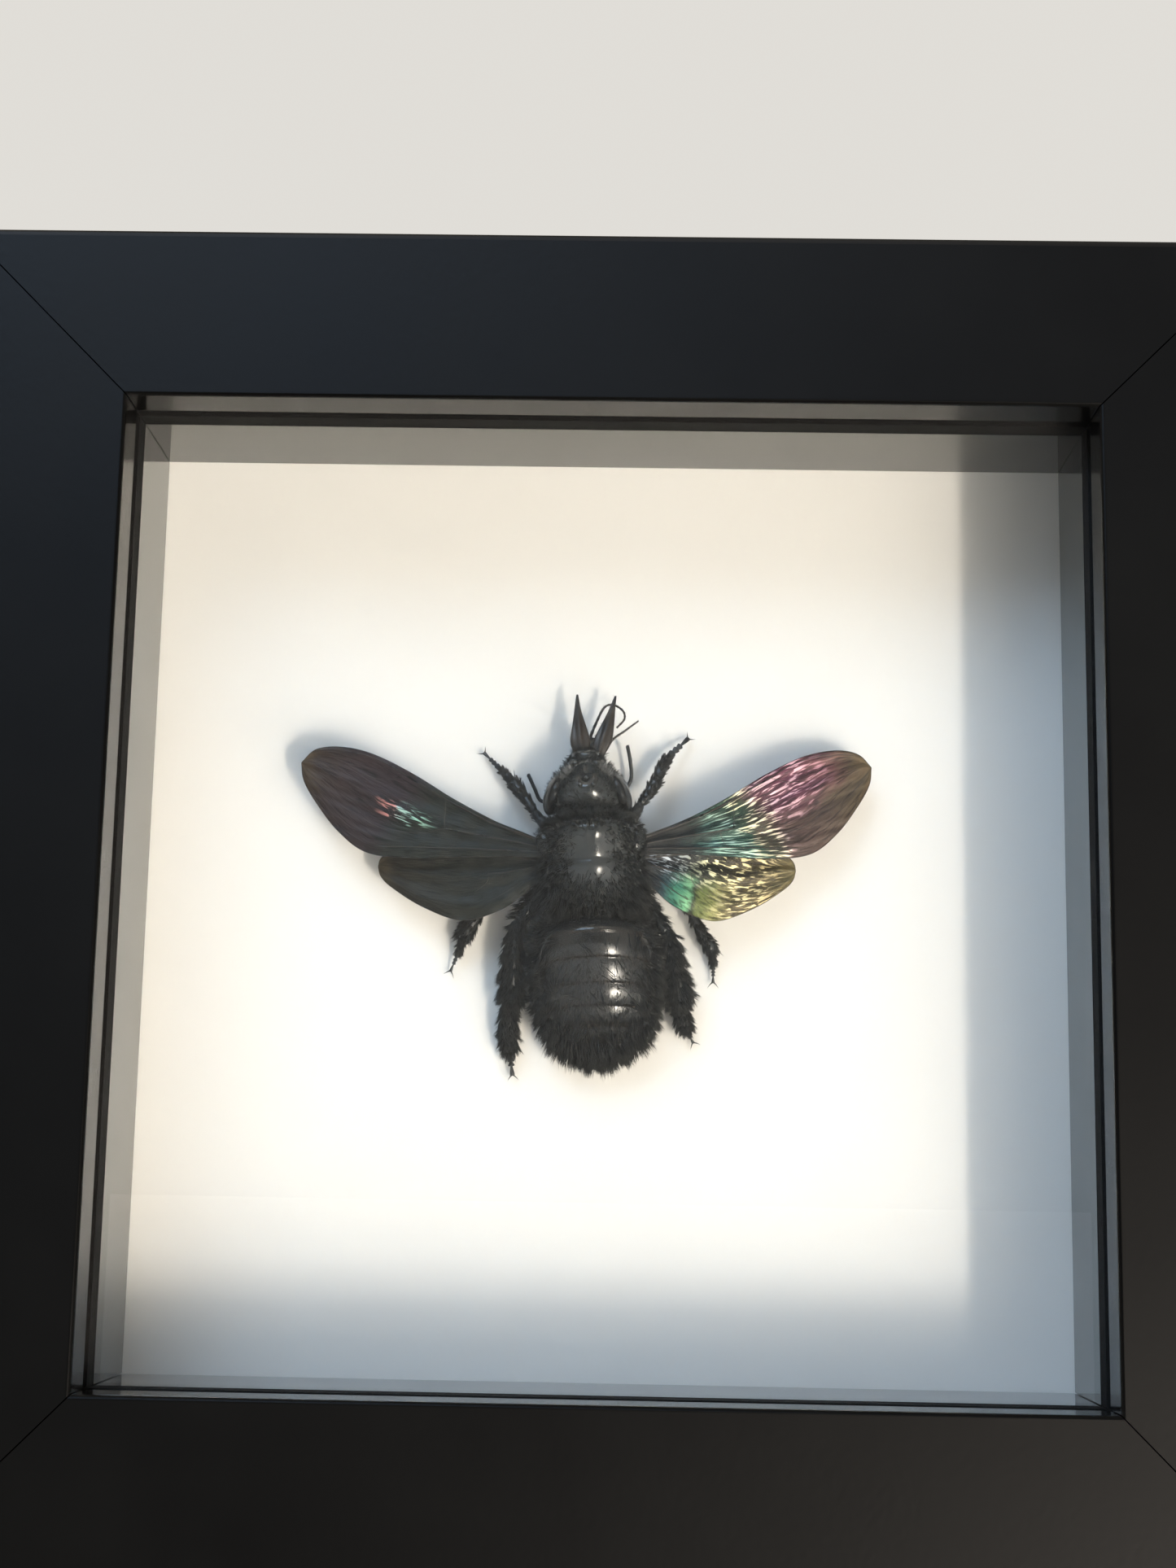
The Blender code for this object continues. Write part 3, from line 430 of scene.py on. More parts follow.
def faced_outwards(thing, doubles=0.0):
    """Ends edit mode: points nearer than doubles are merged, and every face looks outwards and is smooth."""
    bpy.ops.mesh.select_all(action="SELECT")
    if doubles:
        bpy.ops.mesh.remove_doubles(threshold=doubles)
    bpy.ops.mesh.normals_make_consistent(inside=False)
    bpy.ops.object.mode_set(mode="OBJECT")
    bpy.ops.object.transform_apply(location=True, rotation=True, scale=True)
    bpy.ops.object.shade_smooth()
    return thing


def drawn_out(rings, sides):
    """A closed form drawn out of a disc, ring by ring. A ring is distance, x, y, half width and half height."""
    bpy.ops.object.select_all(action="DESELECT")
    start, x, y, wide, high = rings[0]
    bpy.ops.mesh.primitive_circle_add(vertices=sides, radius=1.0, fill_type="NGON", location=(x, y, start))
    thing = bpy.context.object
    bpy.ops.object.mode_set(mode="EDIT")
    bpy.ops.mesh.select_all(action="SELECT")
    bpy.ops.transform.resize(value=(wide, high, 1.0), center_override=(x, y, start))
    for before, ring in zip(rings, rings[1:]):
        step = (ring[1] - before[1], ring[2] - before[2], ring[0] - before[0])
        bpy.ops.mesh.extrude_region_move(TRANSFORM_OT_translate={"value": step})
        bpy.ops.transform.resize(value=(ring[3] / before[3], ring[4] / before[4], 1.0),
                                 center_override=(ring[1], ring[2], ring[0]))
    return faced_outwards(thing)


def ball(centre, radii, turn=(0, 0, 0), segments=32):
    """A round form of three radii, to be shaped further."""
    bpy.ops.object.select_all(action="DESELECT")
    bpy.ops.mesh.primitive_uv_sphere_add(segments=segments, ring_count=segments // 2, radius=1.0,
                                         location=centre, rotation=turn)
    thing = bpy.context.object
    thing.scale = radii
    bpy.ops.object.transform_apply(location=True, rotation=True, scale=True)
    bpy.ops.object.shade_smooth()
    return thing


def shaped(thing, move):
    """Moves every point of the mesh by a given rule."""
    for point in thing.data.vertices:
        point.co = move(point.co.copy())
    thing.data.update()
    return thing


def tubes(paths, sides=8):
    """Round cords through points of x, y, z and radius, closed at both ends, as one mesh."""
    data = bpy.data.curves.new("tubes", "CURVE")
    data.dimensions = "3D"
    data.bevel_depth = 1.0
    data.bevel_resolution = sides // 4
    data.use_fill_caps = True
    for path in paths:
        line = data.splines.new("POLY")
        line.points.add(len(path) - 1)
        for point, (x, y, z, radius) in zip(line.points, path):
            point.co = (x, y, z, 1.0)
            point.radius = radius
        line.use_smooth = True
    thing = bpy.data.objects.new("tubes", data)
    bpy.context.scene.collection.objects.link(thing)
    alone(thing)
    bpy.ops.object.convert(target="MESH")
    bpy.ops.object.mode_set(mode="EDIT")
    return faced_outwards(bpy.context.object, doubles=0.0001)


def settled(thing, name, finish, slot, *nodes):
    """Sets a bee piece into the box, names it and lets it stand for the part's nodes."""
    turned(thing, BEE)
    thing.name = thing.data.name = name
    thing.data.materials.clear()
    thing.data.materials.append(FINISHES[finish])
    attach(thing, "root")
    if nodes:
        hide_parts(*nodes)
    return thing


# Hair: one hair is modelled, and every other one is a copy of it in the same mesh

HAIR = drawn_out([(0.0, 0, 0, 1.0, 1.0), (0.55, 0, 0, 0.8, 0.8), (1.0, 0, 0, 0.1, 0.1)], 3)
HAIR_POINTS = np.array([v.co for v in HAIR.data.vertices])
HAIR_FACES = [tuple(f.vertices) for f in HAIR.data.polygons]
bpy.data.objects.remove(HAIR)
# How much hairs differ in lean and in bend, the shortest's share of the full length, its thinnest and thickest share
# of the radius, and how far the tips of a tuft are pulled together.
LEAN_SPREAD, BEND_SPREAD, SHORTEST, THIN_TO_THICK, TUFT_PULL = 0.22, 0.10, 0.55, (0.75, 1.2), 0.6
TUFT_LEADER_LENGTH = 1.1
SORTING_WAY = np.array([0.5377, 0.6180, 0.5736])


def everywhere(c, n):
    """Hair as thick all over. Like every such rule, it takes the faces' centres and normals."""
    return np.ones(len(c))


def roots_on(thing, count, dense, chance):
    """Random places on the thing's skin with their normals, where dense, from 0 up, says how thick the hair is."""
    points = np.array([v.co for v in thing.data.vertices], dtype=float)
    # Blender's tools leave faces and corners in another order in each run. They are sorted here by their place along
    # a way that suits no symmetry, so that the hair is the same each time.
    keys = (points @ SORTING_WAY).tolist()
    faces = []
    for face in thing.data.polygons:
        corners = list(face.vertices)
        first = corners.index(min(corners, key=keys.__getitem__))
        faces.append(corners[first:] + corners[:first])
    faces.sort(key=lambda corners: sum(keys[corner] for corner in corners) / len(corners))
    sizes = np.array([len(corners) for corners in faces])
    starts = np.cumsum(sizes) - sizes
    here = points[[corner for corners in faces for corner in corners]]
    following = points[[corner for corners in faces for corner in corners[1:] + corners[:1]]]
    centres = np.add.reduceat(here, starts) / sizes[:, None]
    normals = np.add.reduceat(np.cross(here, following), starts) / 2
    areas = np.linalg.norm(normals, axis=1)
    normals /= areas[:, None]
    weight = areas * dense(centres, normals)
    picked = chance.choice(len(faces), count, p=weight / weight.sum())
    places = np.empty((count, 3))
    for row, number in enumerate(picked):
        corners = points[faces[number]]
        places[row] = chance.dirichlet(np.ones(len(corners))) @ corners
    return places, normals[picked]


def coat(places, ways, lengths, radius, chance, droop):
    """One mesh of hairs from these places: each leaves along its way and bends by droop."""
    count = len(places)
    ways = ways / np.linalg.norm(ways, axis=1, keepdims=True)
    helper = np.where(np.abs(ways[:, 2:3]) > 0.9, np.array([[1.0, 0, 0]]), np.array([[0, 0, 1.0]]))
    side = np.cross(ways, helper)
    side /= np.linalg.norm(side, axis=1, keepdims=True)
    up = np.cross(ways, side)
    bend = np.array(droop)[None] + chance.normal(0, BEND_SPREAD, (count, 3))
    x, y, t = (axis[None, :, None] for axis in HAIR_POINTS.T)
    thick = (radius * chance.uniform(*THIN_TO_THICK, count))[:, None, None]
    reach = lengths[:, None, None]
    points = (places[:, None] + ways[:, None] * t * reach + bend[:, None] * t ** 2 * reach
              + thick * (side[:, None] * x + up[:, None] * y))
    data = bpy.data.meshes.new("hairs")
    size = len(HAIR_POINTS)
    faces = [tuple(n * size + i for i in face) for n in range(count) for face in HAIR_FACES]
    data.from_pydata(points.reshape(-1, 3).tolist(), [], faces)
    thing = bpy.data.objects.new("hairs", data)
    bpy.context.scene.collection.objects.link(thing)
    alone(thing)
    bpy.ops.object.shade_smooth()
    return thing


def fur(thing, dense, count, flow, length, radius, seed, stand=0.7, droop=(0, 0, 0), tufts=0):
    """Hairs on a piece: they stand off its skin by stand, and lean along flow. Length may be a rule of the place.
    The tips gather in tufts, each at the tip of one of the first hairs."""
    chance = np.random.default_rng(seed)
    places, normals = roots_on(thing, count, dense, chance)
    ways = normals * stand + np.array(flow)[None] + chance.normal(0, LEAN_SPREAD, normals.shape)
    ways /= np.linalg.norm(ways, axis=1, keepdims=True)
    full = length(places) if callable(length) else length
    lengths = full * chance.uniform(SHORTEST, 1.0, len(places))
    if tufts:
        lengths[:tufts] *= TUFT_LEADER_LENGTH
        tips = places + ways * lengths[:, None]
        nearest = np.argmin(((places[:, None] - places[None, :tufts]) ** 2).sum(2), axis=1)
        ways = tips + (tips[nearest] - tips) * TUFT_PULL - places
        lengths = np.linalg.norm(ways, axis=1)
    return coat(places, ways, lengths, radius, chance, droop)


# The bee's head, thorax and abdomen. A section is y, half width, lowest and highest height.

HEAD_X = -0.3
HEAD_SECTIONS = (
    (13.2, 1.6, 3.0, 6.2), (12.6, 2.3, 2.3, 7.2), (11.4, 3.3, 1.5, 8.6), (9.9, 4.35, 1.1, 9.5),
    (8.4, 4.6, 1.2, 9.8), (7.1, 4.3, 1.8, 9.3), (6.1, 3.1, 2.8, 8.2),
)
THORAX_SECTIONS = (
    (5.7, 3.4, 4.0, 8.8), (4.9, 4.8, 2.3, 11.3), (4.1, 5.65, 1.3, 12.2), (3.35, 5.95, 0.9, 12.33),
    (2.6, 6.1, 0.8, 12.16), (1.75, 6.2, 0.65, 11.75), (0.85, 6.3, 0.5, 11.33), (0.25, 6.3, 0.5, 11.15),
    (-0.3, 6.3, 0.5, 11.22), (-0.9, 6.3, 0.5, 11.16), (-1.6, 6.25, 0.5, 10.92), (-2.4, 6.15, 0.6, 10.5),
    (-3.4, 5.9, 0.9, 9.8), (-4.6, 5.2, 1.4, 8.8), (-5.5, 3.6, 3.0, 7.4),
)
# How head and thorax close at their ends: distance past the end section, and share of its size.
FRONT_CAP = ((-0.55, 0.12), (-0.45, 0.45), (-0.22, 0.8))
BACK_CAP = ((0.22, 0.8), (0.4, 0.45), (0.48, 0.12))
# Low forms on the face: height, half width, place along the head and half length.
FACE_RELIEF = ((-0.35, 0.55, 10.6, 1.3), (0.28, 1.6, 12.4, 0.8), (0.22, 1.1, 8.9, 0.8))
FACE_LEVEL = 6.5
# Places from the head's middle, and radii: the simple eyes, the feelers' sockets, the lip's shield, the mouth's root.
SIMPLE_EYES, SIMPLE_EYE_RADII = ((0.0, 10.0, 9.62), (-0.75, 9.1, 9.9), (0.75, 9.1, 9.9)), (0.27, 0.27, 0.22)
SOCKETS, SOCKET_RADII = ((-1.25, 11.9, 7.9), (1.25, 11.9, 7.9)), (0.42, 0.42, 0.3)
SHIELD_PLACE, SHIELD_RADII, SHIELD_SWEEP = (0.0, 13.1, 5.4), (1.7, 0.95, 1.5), 0.12
MOUTH_PLACE, MOUTH_RADII = (0.4, 14.1, 4.3), (1.9, 1.7, 0.75)
# One jaw's route from the head's middle, with its radius.
JAW = ((1.9, 11.9, 3.4, 0.7), (1.8, 12.9, 3.2, 0.58), (1.5, 13.8, 3.0, 0.46), (0.9, 14.5, 2.9, 0.26),
       (0.3, 14.7, 2.8, 0.1))
EYE_PLACE, EYE_RADII, EYE_TURN = (3.75, 8.75, 5.6), (1.3, 2.6, 3.0), math.radians(22)
# The notch in a large eye's inner rim: depth, place along the head, half length, distance from the head's middle.
NOTCH_DEPTH, NOTCH_Y, NOTCH_HALF_LENGTH, NOTCH_X = 0.35, 10.6, 0.7, 2.6
# The thorax's crown and seams: height or depth, half width, and how far the side seams are from the middle one.
CROWN, CROWN_HALF_WIDTH = 0.3, 1.8
MIDDLE_SEAM, SIDE_SEAM, SEAM_HALF_WIDTH, SIDE_SEAM_X, SEAMS_END = 0.16, 0.12, 0.16, 3.0, 0.3
# On each side, the wing's cap and the hump behind it: place, radii, turns about y and z, mesh sides.
WING_CAPS = (((5.55, 2.4, 9.0), (0.95, 1.35, 0.5), 0.5, -0.25, 28), ((5.6, 0.6, 7.9), (0.6, 0.8, 0.5), 0.6, 0.0, 20))


def body_form(sections, centre_x, rings, sides):
    """An oval body through these sections, closed to a point at both ends."""
    fine = smooth_path(sections, rings)
    stations = ([(fine[0], *ring) for ring in FRONT_CAP] + [(section, 0.0, 1.0) for section in fine]
                + [(fine[-1], *ring) for ring in BACK_CAP])
    drawn = []
    for (y, wide, low, high), lead, share in stations:
        drawn.append((-y + lead, centre_x, (low + high) / 2, wide * share, (high - low) / 2 * share))
    return turned(drawn_out(drawn, sides), LENGTHWISE)


def beside(place, side=1):
    """A place given from the head's middle, on this side of it."""
    return (HEAD_X + side * place[0], *place[1:])


def head():
    """The skull with its shield, cheeks and three simple eyes, jaws under it, and the two large eyes as a piece."""
    skull = body_form(HEAD_SECTIONS, HEAD_X, 30, 72)

    def face(p):
        top = rise(p.z, FACE_LEVEL, 2.0)
        for height, half_width, y, half_length in FACE_RELIEF:
            p.z += height * top * bell(p.x - HEAD_X, half_width) * bell(p.y - y, half_length)
        return p

    shaped(skull, face)
    small = [ball(beside(place), SIMPLE_EYE_RADII, segments=20) for place in SIMPLE_EYES]
    small += [ball(beside(place), SOCKET_RADII, segments=20) for place in SOCKETS]
    jaws = [tubes([smooth_path([beside(point, side) for point in JAW], 14)], 16) for side in (-1, 1)]
    shield = ball(beside(SHIELD_PLACE), SHIELD_RADII)
    shaped(shield, lambda p: Vector((p.x, p.y + SHIELD_SWEEP * abs(p.x - HEAD_X), p.z)))
    mouth_root = ball(beside(MOUTH_PLACE), MOUTH_RADII)
    whole = joined([skull, shield, mouth_root, *small, *jaws])
    eyes = []
    for side in (-1, 1):
        inner = HEAD_X + side * NOTCH_X

        def notched(p):
            """The eye is kidney shaped: its inner rim is notched beside the feeler's socket."""
            if (p.x - inner) * side < 0:
                p.x += side * NOTCH_DEPTH * bell(p.y - NOTCH_Y, NOTCH_HALF_LENGTH)
            return p

        eyes.append(shaped(ball(beside(EYE_PLACE, side), EYE_RADII, (0, 0, side * EYE_TURN), 48), notched))
    pair = joined(eyes)

    def but_brow(c, n):
        bare = bell(c[:, 0] - HEAD_X, 1.8) * bell(c[:, 1] - 10.3, 1.9) * (n[:, 2] > 0.3)
        return np.clip(1.0 - 0.9 * bare, 0.1, 1) * (c[:, 2] > 1.5)

    down = fur(whole, but_brow, count=4200, flow=(0, 0.35, 0), length=0.7, radius=0.022, seed=11, stand=0.8, tufts=700)
    settled(whole, "skull", "pitted_chitin", "bee_black", "bee_head")
    settled(pair, "compound_eyes", "compound_eye", "bee_black")
    settled(down, "head_hair", "bristle", "bee_black")


def thorax():
    """The barrel of the thorax: its bare shield with a middle line, the smaller shield behind it, and wing caps."""
    barrel = body_form(THORAX_SECTIONS, 0.0, 64, 128)

    def seamed(p):
        top = rise(p.z, 9.0, 1.5)
        p.z += CROWN * top * bell(p.x, CROWN_HALF_WIDTH)
        if p.y > SEAMS_END:
            p.z -= MIDDLE_SEAM * top * bell(p.x, SEAM_HALF_WIDTH) * rise(p.y, 1.2, 1.5)
            for x in (-SIDE_SEAM_X, SIDE_SEAM_X):
                p.z -= SIDE_SEAM * top * bell(p.x - x, SEAM_HALF_WIDTH) * rise(p.y, 3.2, -1.0)
        return p

    shaped(barrel, seamed)
    caps = [ball((side * x, y, z), radii, (0, side * roll, side * yaw), sides)
            for side in (-1, 1) for (x, y, z), radii, roll, yaw, sides in WING_CAPS]
    whole = joined([barrel, *caps])

    def round_the_shield(c, n):
        bare = bell(c[:, 0], 2.7, 4) * bell(c[:, 1] - 0.7, 3.3, 4) * (n[:, 2] > 0.45)
        return np.clip(1.0 - 1.1 * bare, 0.01, 1) * (c[:, 2] > 1.0)

    def longer_at_the_ends(c):
        flank = rise(np.abs(c[:, 0]), 2.5, 2.0)
        return 0.85 + (0.6 + 1.3 * flank) * rise(c[:, 1], 0.5, -4.5) + 0.8 * rise(c[:, 1], 3.6, 1.5)

    pile = fur(whole, round_the_shield, count=12000, flow=(0, -0.45, 0.0), length=longer_at_the_ends, radius=0.032,
               seed=21, stand=0.9, tufts=1100)
    settled(whole, "thorax_shield", "pitted_chitin", "bee_black", "bee_thorax")
    settled(pile, "thorax_hair", "bristle", "bee_black")


ABDOMEN_FRONT, ABDOMEN_TIP = -5.95, -22.5
ABDOMEN_HALF_WIDTH, ABDOMEN_BOTTOM, ABDOMEN_TOP = 7.3, 0.4, 9.6
# Where it is widest, as a share of its length, and how far and how late it closes before and behind that.
WIDEST, FRONT_CLOSES, FRONT_POWER, REAR_CLOSES, REAR_POWER = 0.42, 0.72, 3.2, 0.97, 2.7
# From here on its back falls by so much in a millimetre.
FALL_START, ABDOMEN_FALL = -8.3, 0.25
# Its ends: distance before the front, or y, and share of the size there.
ABDOMEN_CAP = ((0.3, 0.15), (0.26, 0.5), (0.14, 0.85))
ABDOMEN_TAIL = ((-21.5, 1.0), (-22.0, 0.95), (-22.35, 0.8), (-22.5, 0.4))
# Six plates. Each sinks below the full size at its front edge and a little at its rim, where it ends in a step.
TERGITE_ENDS = (-8.5, -11.4, -14.3, -16.9, -19.2, -21.1)
PLATE_SHARES = (0.0, 0.08, 0.18, 0.3, 0.42, 0.55, 0.68, 0.8, 0.9, 0.97, 1.0)
FRONT_SINK, RIM_SINK, RIM_STEP, RIM_WIDTH = 0.2, 0.12, 0.05, 0.3
KEEL_HEIGHT, KEEL_HALF_WIDTH, RIM_ARCH, ARCH_HALF_WIDTH = 0.25, 2.6, 0.55, 6.5


def abdomen_section(y, sink):
    """Centre height, half width and half height of the abdomen at y, smaller all round by sink."""
    along = (ABDOMEN_FRONT - y) / (ABDOMEN_FRONT - ABDOMEN_TIP)
    if along < WIDEST:
        share = math.sqrt(1 - FRONT_CLOSES * (1 - along / WIDEST) ** FRONT_POWER)
    else:
        share = math.sqrt(max(1 - ((along - WIDEST) / (1 - WIDEST)) ** REAR_POWER * REAR_CLOSES, 0.0))
    half_height = (ABDOMEN_TOP - ABDOMEN_BOTTOM) / 2 * share ** 0.85
    middle = (ABDOMEN_TOP + ABDOMEN_BOTTOM) / 2 - 0.9 * (1 - share)
    droop = ABDOMEN_FALL * max(0.0, FALL_START - y)
    top, bottom = middle + half_height - droop, max(middle - half_height - droop, ABDOMEN_BOTTOM)
    return (top + bottom) / 2, ABDOMEN_HALF_WIDTH * share - sink, (top - bottom) / 2 - sink


def abdomen():
    """Six overlapping plates, each crowned and ending in a thin rim over the next, with its fringe of hair."""
    start = ABDOMEN_FRONT
    middle, wide, high = abdomen_section(start, 0.0)
    rings = [(-start - lead, 0.0, middle, wide * share, high * share) for lead, share in ABDOMEN_CAP]
    for end in TERGITE_ENDS:
        for share in PLATE_SHARES:
            y = start + (end - start) * share * (1 if share < 1 else 0.999)
            sink = FRONT_SINK * (1 - share) ** 2.5 + RIM_SINK * rise(share, 0.3, 0.7) ** 2.2
            middle, wide, high = abdomen_section(y, sink + (RIM_STEP if share == 1 else 0))
            rings.append((-y, 0.0, middle, wide, high))
        start = end - 0.001
    for y, share in ABDOMEN_TAIL:
        middle, wide, high = abdomen_section(max(y, -22.3), FRONT_SINK)
        rings.append((-y, 0.0, middle, wide * share, high * share))
    body = turned(drawn_out(rings, 112), LENGTHWISE)
    ends = np.array(TERGITE_ENDS)
    thin = body.data.attributes.new("thin", "FLOAT", "POINT")
    for number, point in enumerate(body.data.vertices):
        ahead = point.co.y - ends
        thin.data[number].value = float(np.clip(1 - ahead[ahead >= -0.002].min(initial=9.0) / RIM_WIDTH, 0, 1))

    def keeled(p):
        """The back has a low keel, and the plates' rims arch forwards in its middle."""
        p.z += KEEL_HEIGHT * bell(p.x, KEEL_HALF_WIDTH) * rise(p.z, 5.0, 2.0)
        p.y += (RIM_ARCH * max(0.0, 1 - (p.x / ARCH_HALF_WIDTH) ** 2)
                * min(rise(p.y, -6.3, -2.0), rise(p.y, -21.8, 2.0)))
        return p

    shaped(body, keeled)

    def at_sides(c, n):
        rear = rise(c[:, 1], -14.5, -6.0)
        level = bell(c[:, 2] - 4.3 + 1.8 * rear, 2.1 - 0.3 * rear)
        return np.clip(level * (1.2 + 1.4 * rear) + 0.01, 0, 3) * (c[:, 1] < -6.2)

    def at_hip(c):
        return bell(c[:, 1] + 7.3, 1.4)

    def at_flanks(c, n):
        return (bell(c[:, 2] - 3.8, 1.5) * rise(c[:, 1], -5.4, -0.6) * rise(c[:, 1], -17.5, 2.0)
                * (1 + 2.5 * at_hip(c)))

    def on_back(c, n):
        return (n[:, 2] > 0.25) * np.maximum(rise(c[:, 1], -7.5, -6.0), 0.1) ** 2

    coats = [
        fur(body, at_sides, count=6200, flow=(0, -0.55, -0.1),
            length=lambda c: 1.2 + 0.8 * (rise(c[:, 1], -15.0, -4.5) + rise(c[:, 1], -15.0, 5.0)),
            radius=0.04, seed=31, droop=(0, -0.15, -0.05), tufts=300),
        fur(body, at_flanks, count=2600, flow=(0, -0.5, -0.1), length=lambda c: 2.1 + 0.8 * at_hip(c),
            radius=0.04, seed=34, stand=1.0, tufts=170),
        fur(body, on_back, count=3000, flow=(0, -1.1, 0), length=0.55, radius=0.018, seed=32, stand=0.35),
        fur(body, lambda c, n: rise(c[:, 1], -21.3, -0.8), count=700, flow=(0, -1.0, 0), length=1.5,
            radius=0.04, seed=33, stand=0.3, tufts=60),
    ]
    settled(body, "abdomen_plates", "plate_chitin", "bee_black", "bee_abdomen")
    settled(joined(coats), "abdomen_fringe", "bristle", "bee_black")


# Legs

LEGS = {
    "foreleg_left": (
        (-5.6, 8.0, 5.0, 1.7, 1.7), (-7.3, 9.6, 4.6, 1.8, 1.6), (-8.5, 11.0, 4.2, 1.3, 1.3),
        (-9.7, 12.8, 3.7, 1.9, 1.5), (-11.3, 14.9, 2.9, 1.8, 1.3), (-12.8, 16.5, 2.2, 1.1, 0.9),
        (-14.0, 17.8, 1.5, 0.6, 0.5), (-15.1, 18.9, 0.9, 0.45, 0.4),
    ),
    "foreleg_right": (
        (1.2, 8.2, 5.0, 1.8, 1.7), (2.8, 10.2, 4.8, 1.8, 1.7), (4.1, 12.1, 4.5, 2.0, 1.6),
        (5.4, 14.1, 4.0, 1.8, 1.5), (6.0, 15.4, 3.5, 1.2, 1.1), (6.6, 16.8, 3.1, 1.6, 1.3),
        (7.3, 18.2, 2.5, 1.5, 1.1), (8.1, 19.2, 1.9, 0.7, 0.6), (10.0, 21.1, 0.9, 0.45, 0.4),
    ),
    "middle_leg_left": (
        (-6.6, 4.4, 3.6, 1.8, 1.6), (-9.4, 3.2, 3.4, 1.7, 1.6), (-12.0, 1.9, 3.0, 1.6, 1.5),
        (-14.2, 0.2, 2.6, 1.9, 1.6), (-15.7, -2.0, 2.3, 2.4, 1.7), (-16.7, -3.9, 1.9, 1.8, 1.3),
        (-17.3, -5.6, 1.3, 0.9, 0.7), (-18.3, -8.0, 0.8, 0.45, 0.4),
    ),
    "middle_leg_right": (
        (3.6, 4.4, 3.6, 1.8, 1.6), (6.0, 3.2, 3.4, 1.7, 1.6), (8.4, 1.6, 3.0, 1.6, 1.5),
        (10.3, -0.6, 2.6, 1.8, 1.6), (11.6, -2.9, 2.2, 1.9, 1.5), (12.8, -4.9, 1.8, 1.7, 1.3),
        (13.0, -6.6, 1.2, 0.9, 0.7), (13.0, -8.8, 0.8, 0.5, 0.4),
    ),
    "hind_leg_left": (
        (-5.9, 2.0, 3.6, 2.0, 1.8), (-8.2, 0.3, 4.4, 2.2, 2.0), (-10.0, -2.2, 4.4, 2.6, 2.2),
        (-10.6, -5.2, 4.0, 2.8, 2.3), (-10.7, -8.4, 3.4, 2.9, 2.5), (-10.8, -11.3, 2.9, 2.8, 2.2),
        (-11.1, -13.1, 2.4, 1.9, 1.7), (-11.1, -15.2, 1.9, 2.3, 1.7), (-10.9, -17.1, 1.5, 1.5, 1.2),
        (-10.6, -18.1, 1.1, 0.8, 0.7), (-10.5, -20.2, 0.8, 0.5, 0.4),
    ),
    "hind_leg_right": (
        (3.4, 2.0, 3.6, 1.9, 1.8), (5.5, -0.4, 4.4, 1.8, 1.8), (7.2, -3.2, 4.6, 1.9, 1.9),
        (8.0, -5.3, 4.2, 2.6, 2.2), (8.7, -8.2, 3.6, 3.0, 2.5), (9.0, -10.9, 2.9, 2.9, 2.3),
        (9.4, -13.0, 2.2, 2.2, 1.6), (9.9, -14.3, 1.5, 0.9, 0.8), (10.8, -15.9, 0.8, 0.5, 0.4),
    ),
}
# For each leg: where its knee, heel and instep end on the route, how much of the width is skin under the hair, and
# its hair on thigh, shin and instep as (count, length).
LEG_BUILD = {
    "foreleg_left": (2, 4, 5, 0.8, ((300, 0.5), (700, 0.65), (450, 0.55))),
    "foreleg_right": (2, 4, 6, 0.8, ((300, 0.5), (700, 0.65), (600, 0.6))),
    "middle_leg_left": (3, 5, 6, 0.8, ((350, 0.6), (900, 1.0), (500, 0.85))),
    "middle_leg_right": (3, 5, 6, 0.76, ((350, 0.6), (900, 0.9), (450, 0.75))),
    "hind_leg_left": (2, 5, 8, 0.8, ((1100, 1.6), (2800, 1.7), (2000, 1.4))),
    "hind_leg_right": (2, 5, 7, 0.8, ((900, 1.5), (3000, 1.9), (1300, 1.1))),
}
THIGH = ((0.0, 0.22), (0.02, 0.5), (0.08, 0.78), (0.2, 0.95), (0.38, 1.0), (0.6, 0.9), (0.8, 0.76), (0.93, 0.7),
         (0.99, 0.5), (1.0, 0.2))
SHIN = ((0.0, 0.2), (0.02, 0.5), (0.08, 0.66), (0.25, 0.72), (0.5, 0.84), (0.75, 0.98), (0.9, 1.04), (0.97, 0.95),
        (1.0, 0.5))
INSTEP = ((0.0, 0.2), (0.03, 0.6), (0.12, 0.86), (0.35, 1.0), (0.7, 0.98), (0.9, 0.86), (0.98, 0.7), (1.0, 0.35))
TOE = ((0.0, 0.18), (0.06, 0.4), (0.3, 0.6), (0.65, 0.88), (0.9, 1.0), (0.98, 0.85), (1.0, 0.4))
# A segment reaches past its joints by this share of its length. The foot is told in shares of its own length, and
# its joints' widths in shares of the instep's.
OVERLAP, HAIRS_IN_A_TUFT = 0.03, 14
FOOT_JOINTS, FOOT_WIDTHS, LEAST_INSTEP = (0.0, 0.2, 0.38, 0.54, 0.9), (0.82, 0.74, 0.68, 0.5), 0.75
CLAW_LENGTH, CLAW_RADIUS, SPUR_LENGTH, SPUR_RADIUS, SPIKE_TAPER = 0.75, 0.11, 1.25, 0.1, 0.92


def in_bee(x, y, z):
    """A place measured from the centre of the opening, in the bee's own leaning axes."""
    flat = Matrix.Rotation(-BEE_LEAN, 2) @ Vector((x - BEE_X, y - BEE_Y))
    return Vector((flat.x, flat.y, z))


def copied(shape, start, end, wide, thick):
    """A copy of a unit shape laid from start to end, this wide and thick, with its width level."""
    along = end - start
    ahead = along.normalized()
    across = ahead.cross(Vector((0, 0, 1))).normalized()
    up = across.cross(ahead)
    copy = bpy.data.objects.new("copy", shape.data.copy())
    bpy.context.scene.collection.objects.link(copy)
    matrix = Matrix((across * wide, -up * thick, along)).transposed().to_4x4()
    matrix.translation = start
    return turned(copy, matrix)


def spike(start, way, length, radius, hook):
    """A tapered spur or claw that curls by hook."""
    way = way.normalized()
    points = []
    for t in (n / 7 for n in range(8)):
        place = start + way * length * t + hook * length * t * t
        points.append((*place, radius * (1 - SPIKE_TAPER * t)))
    return tubes([points])


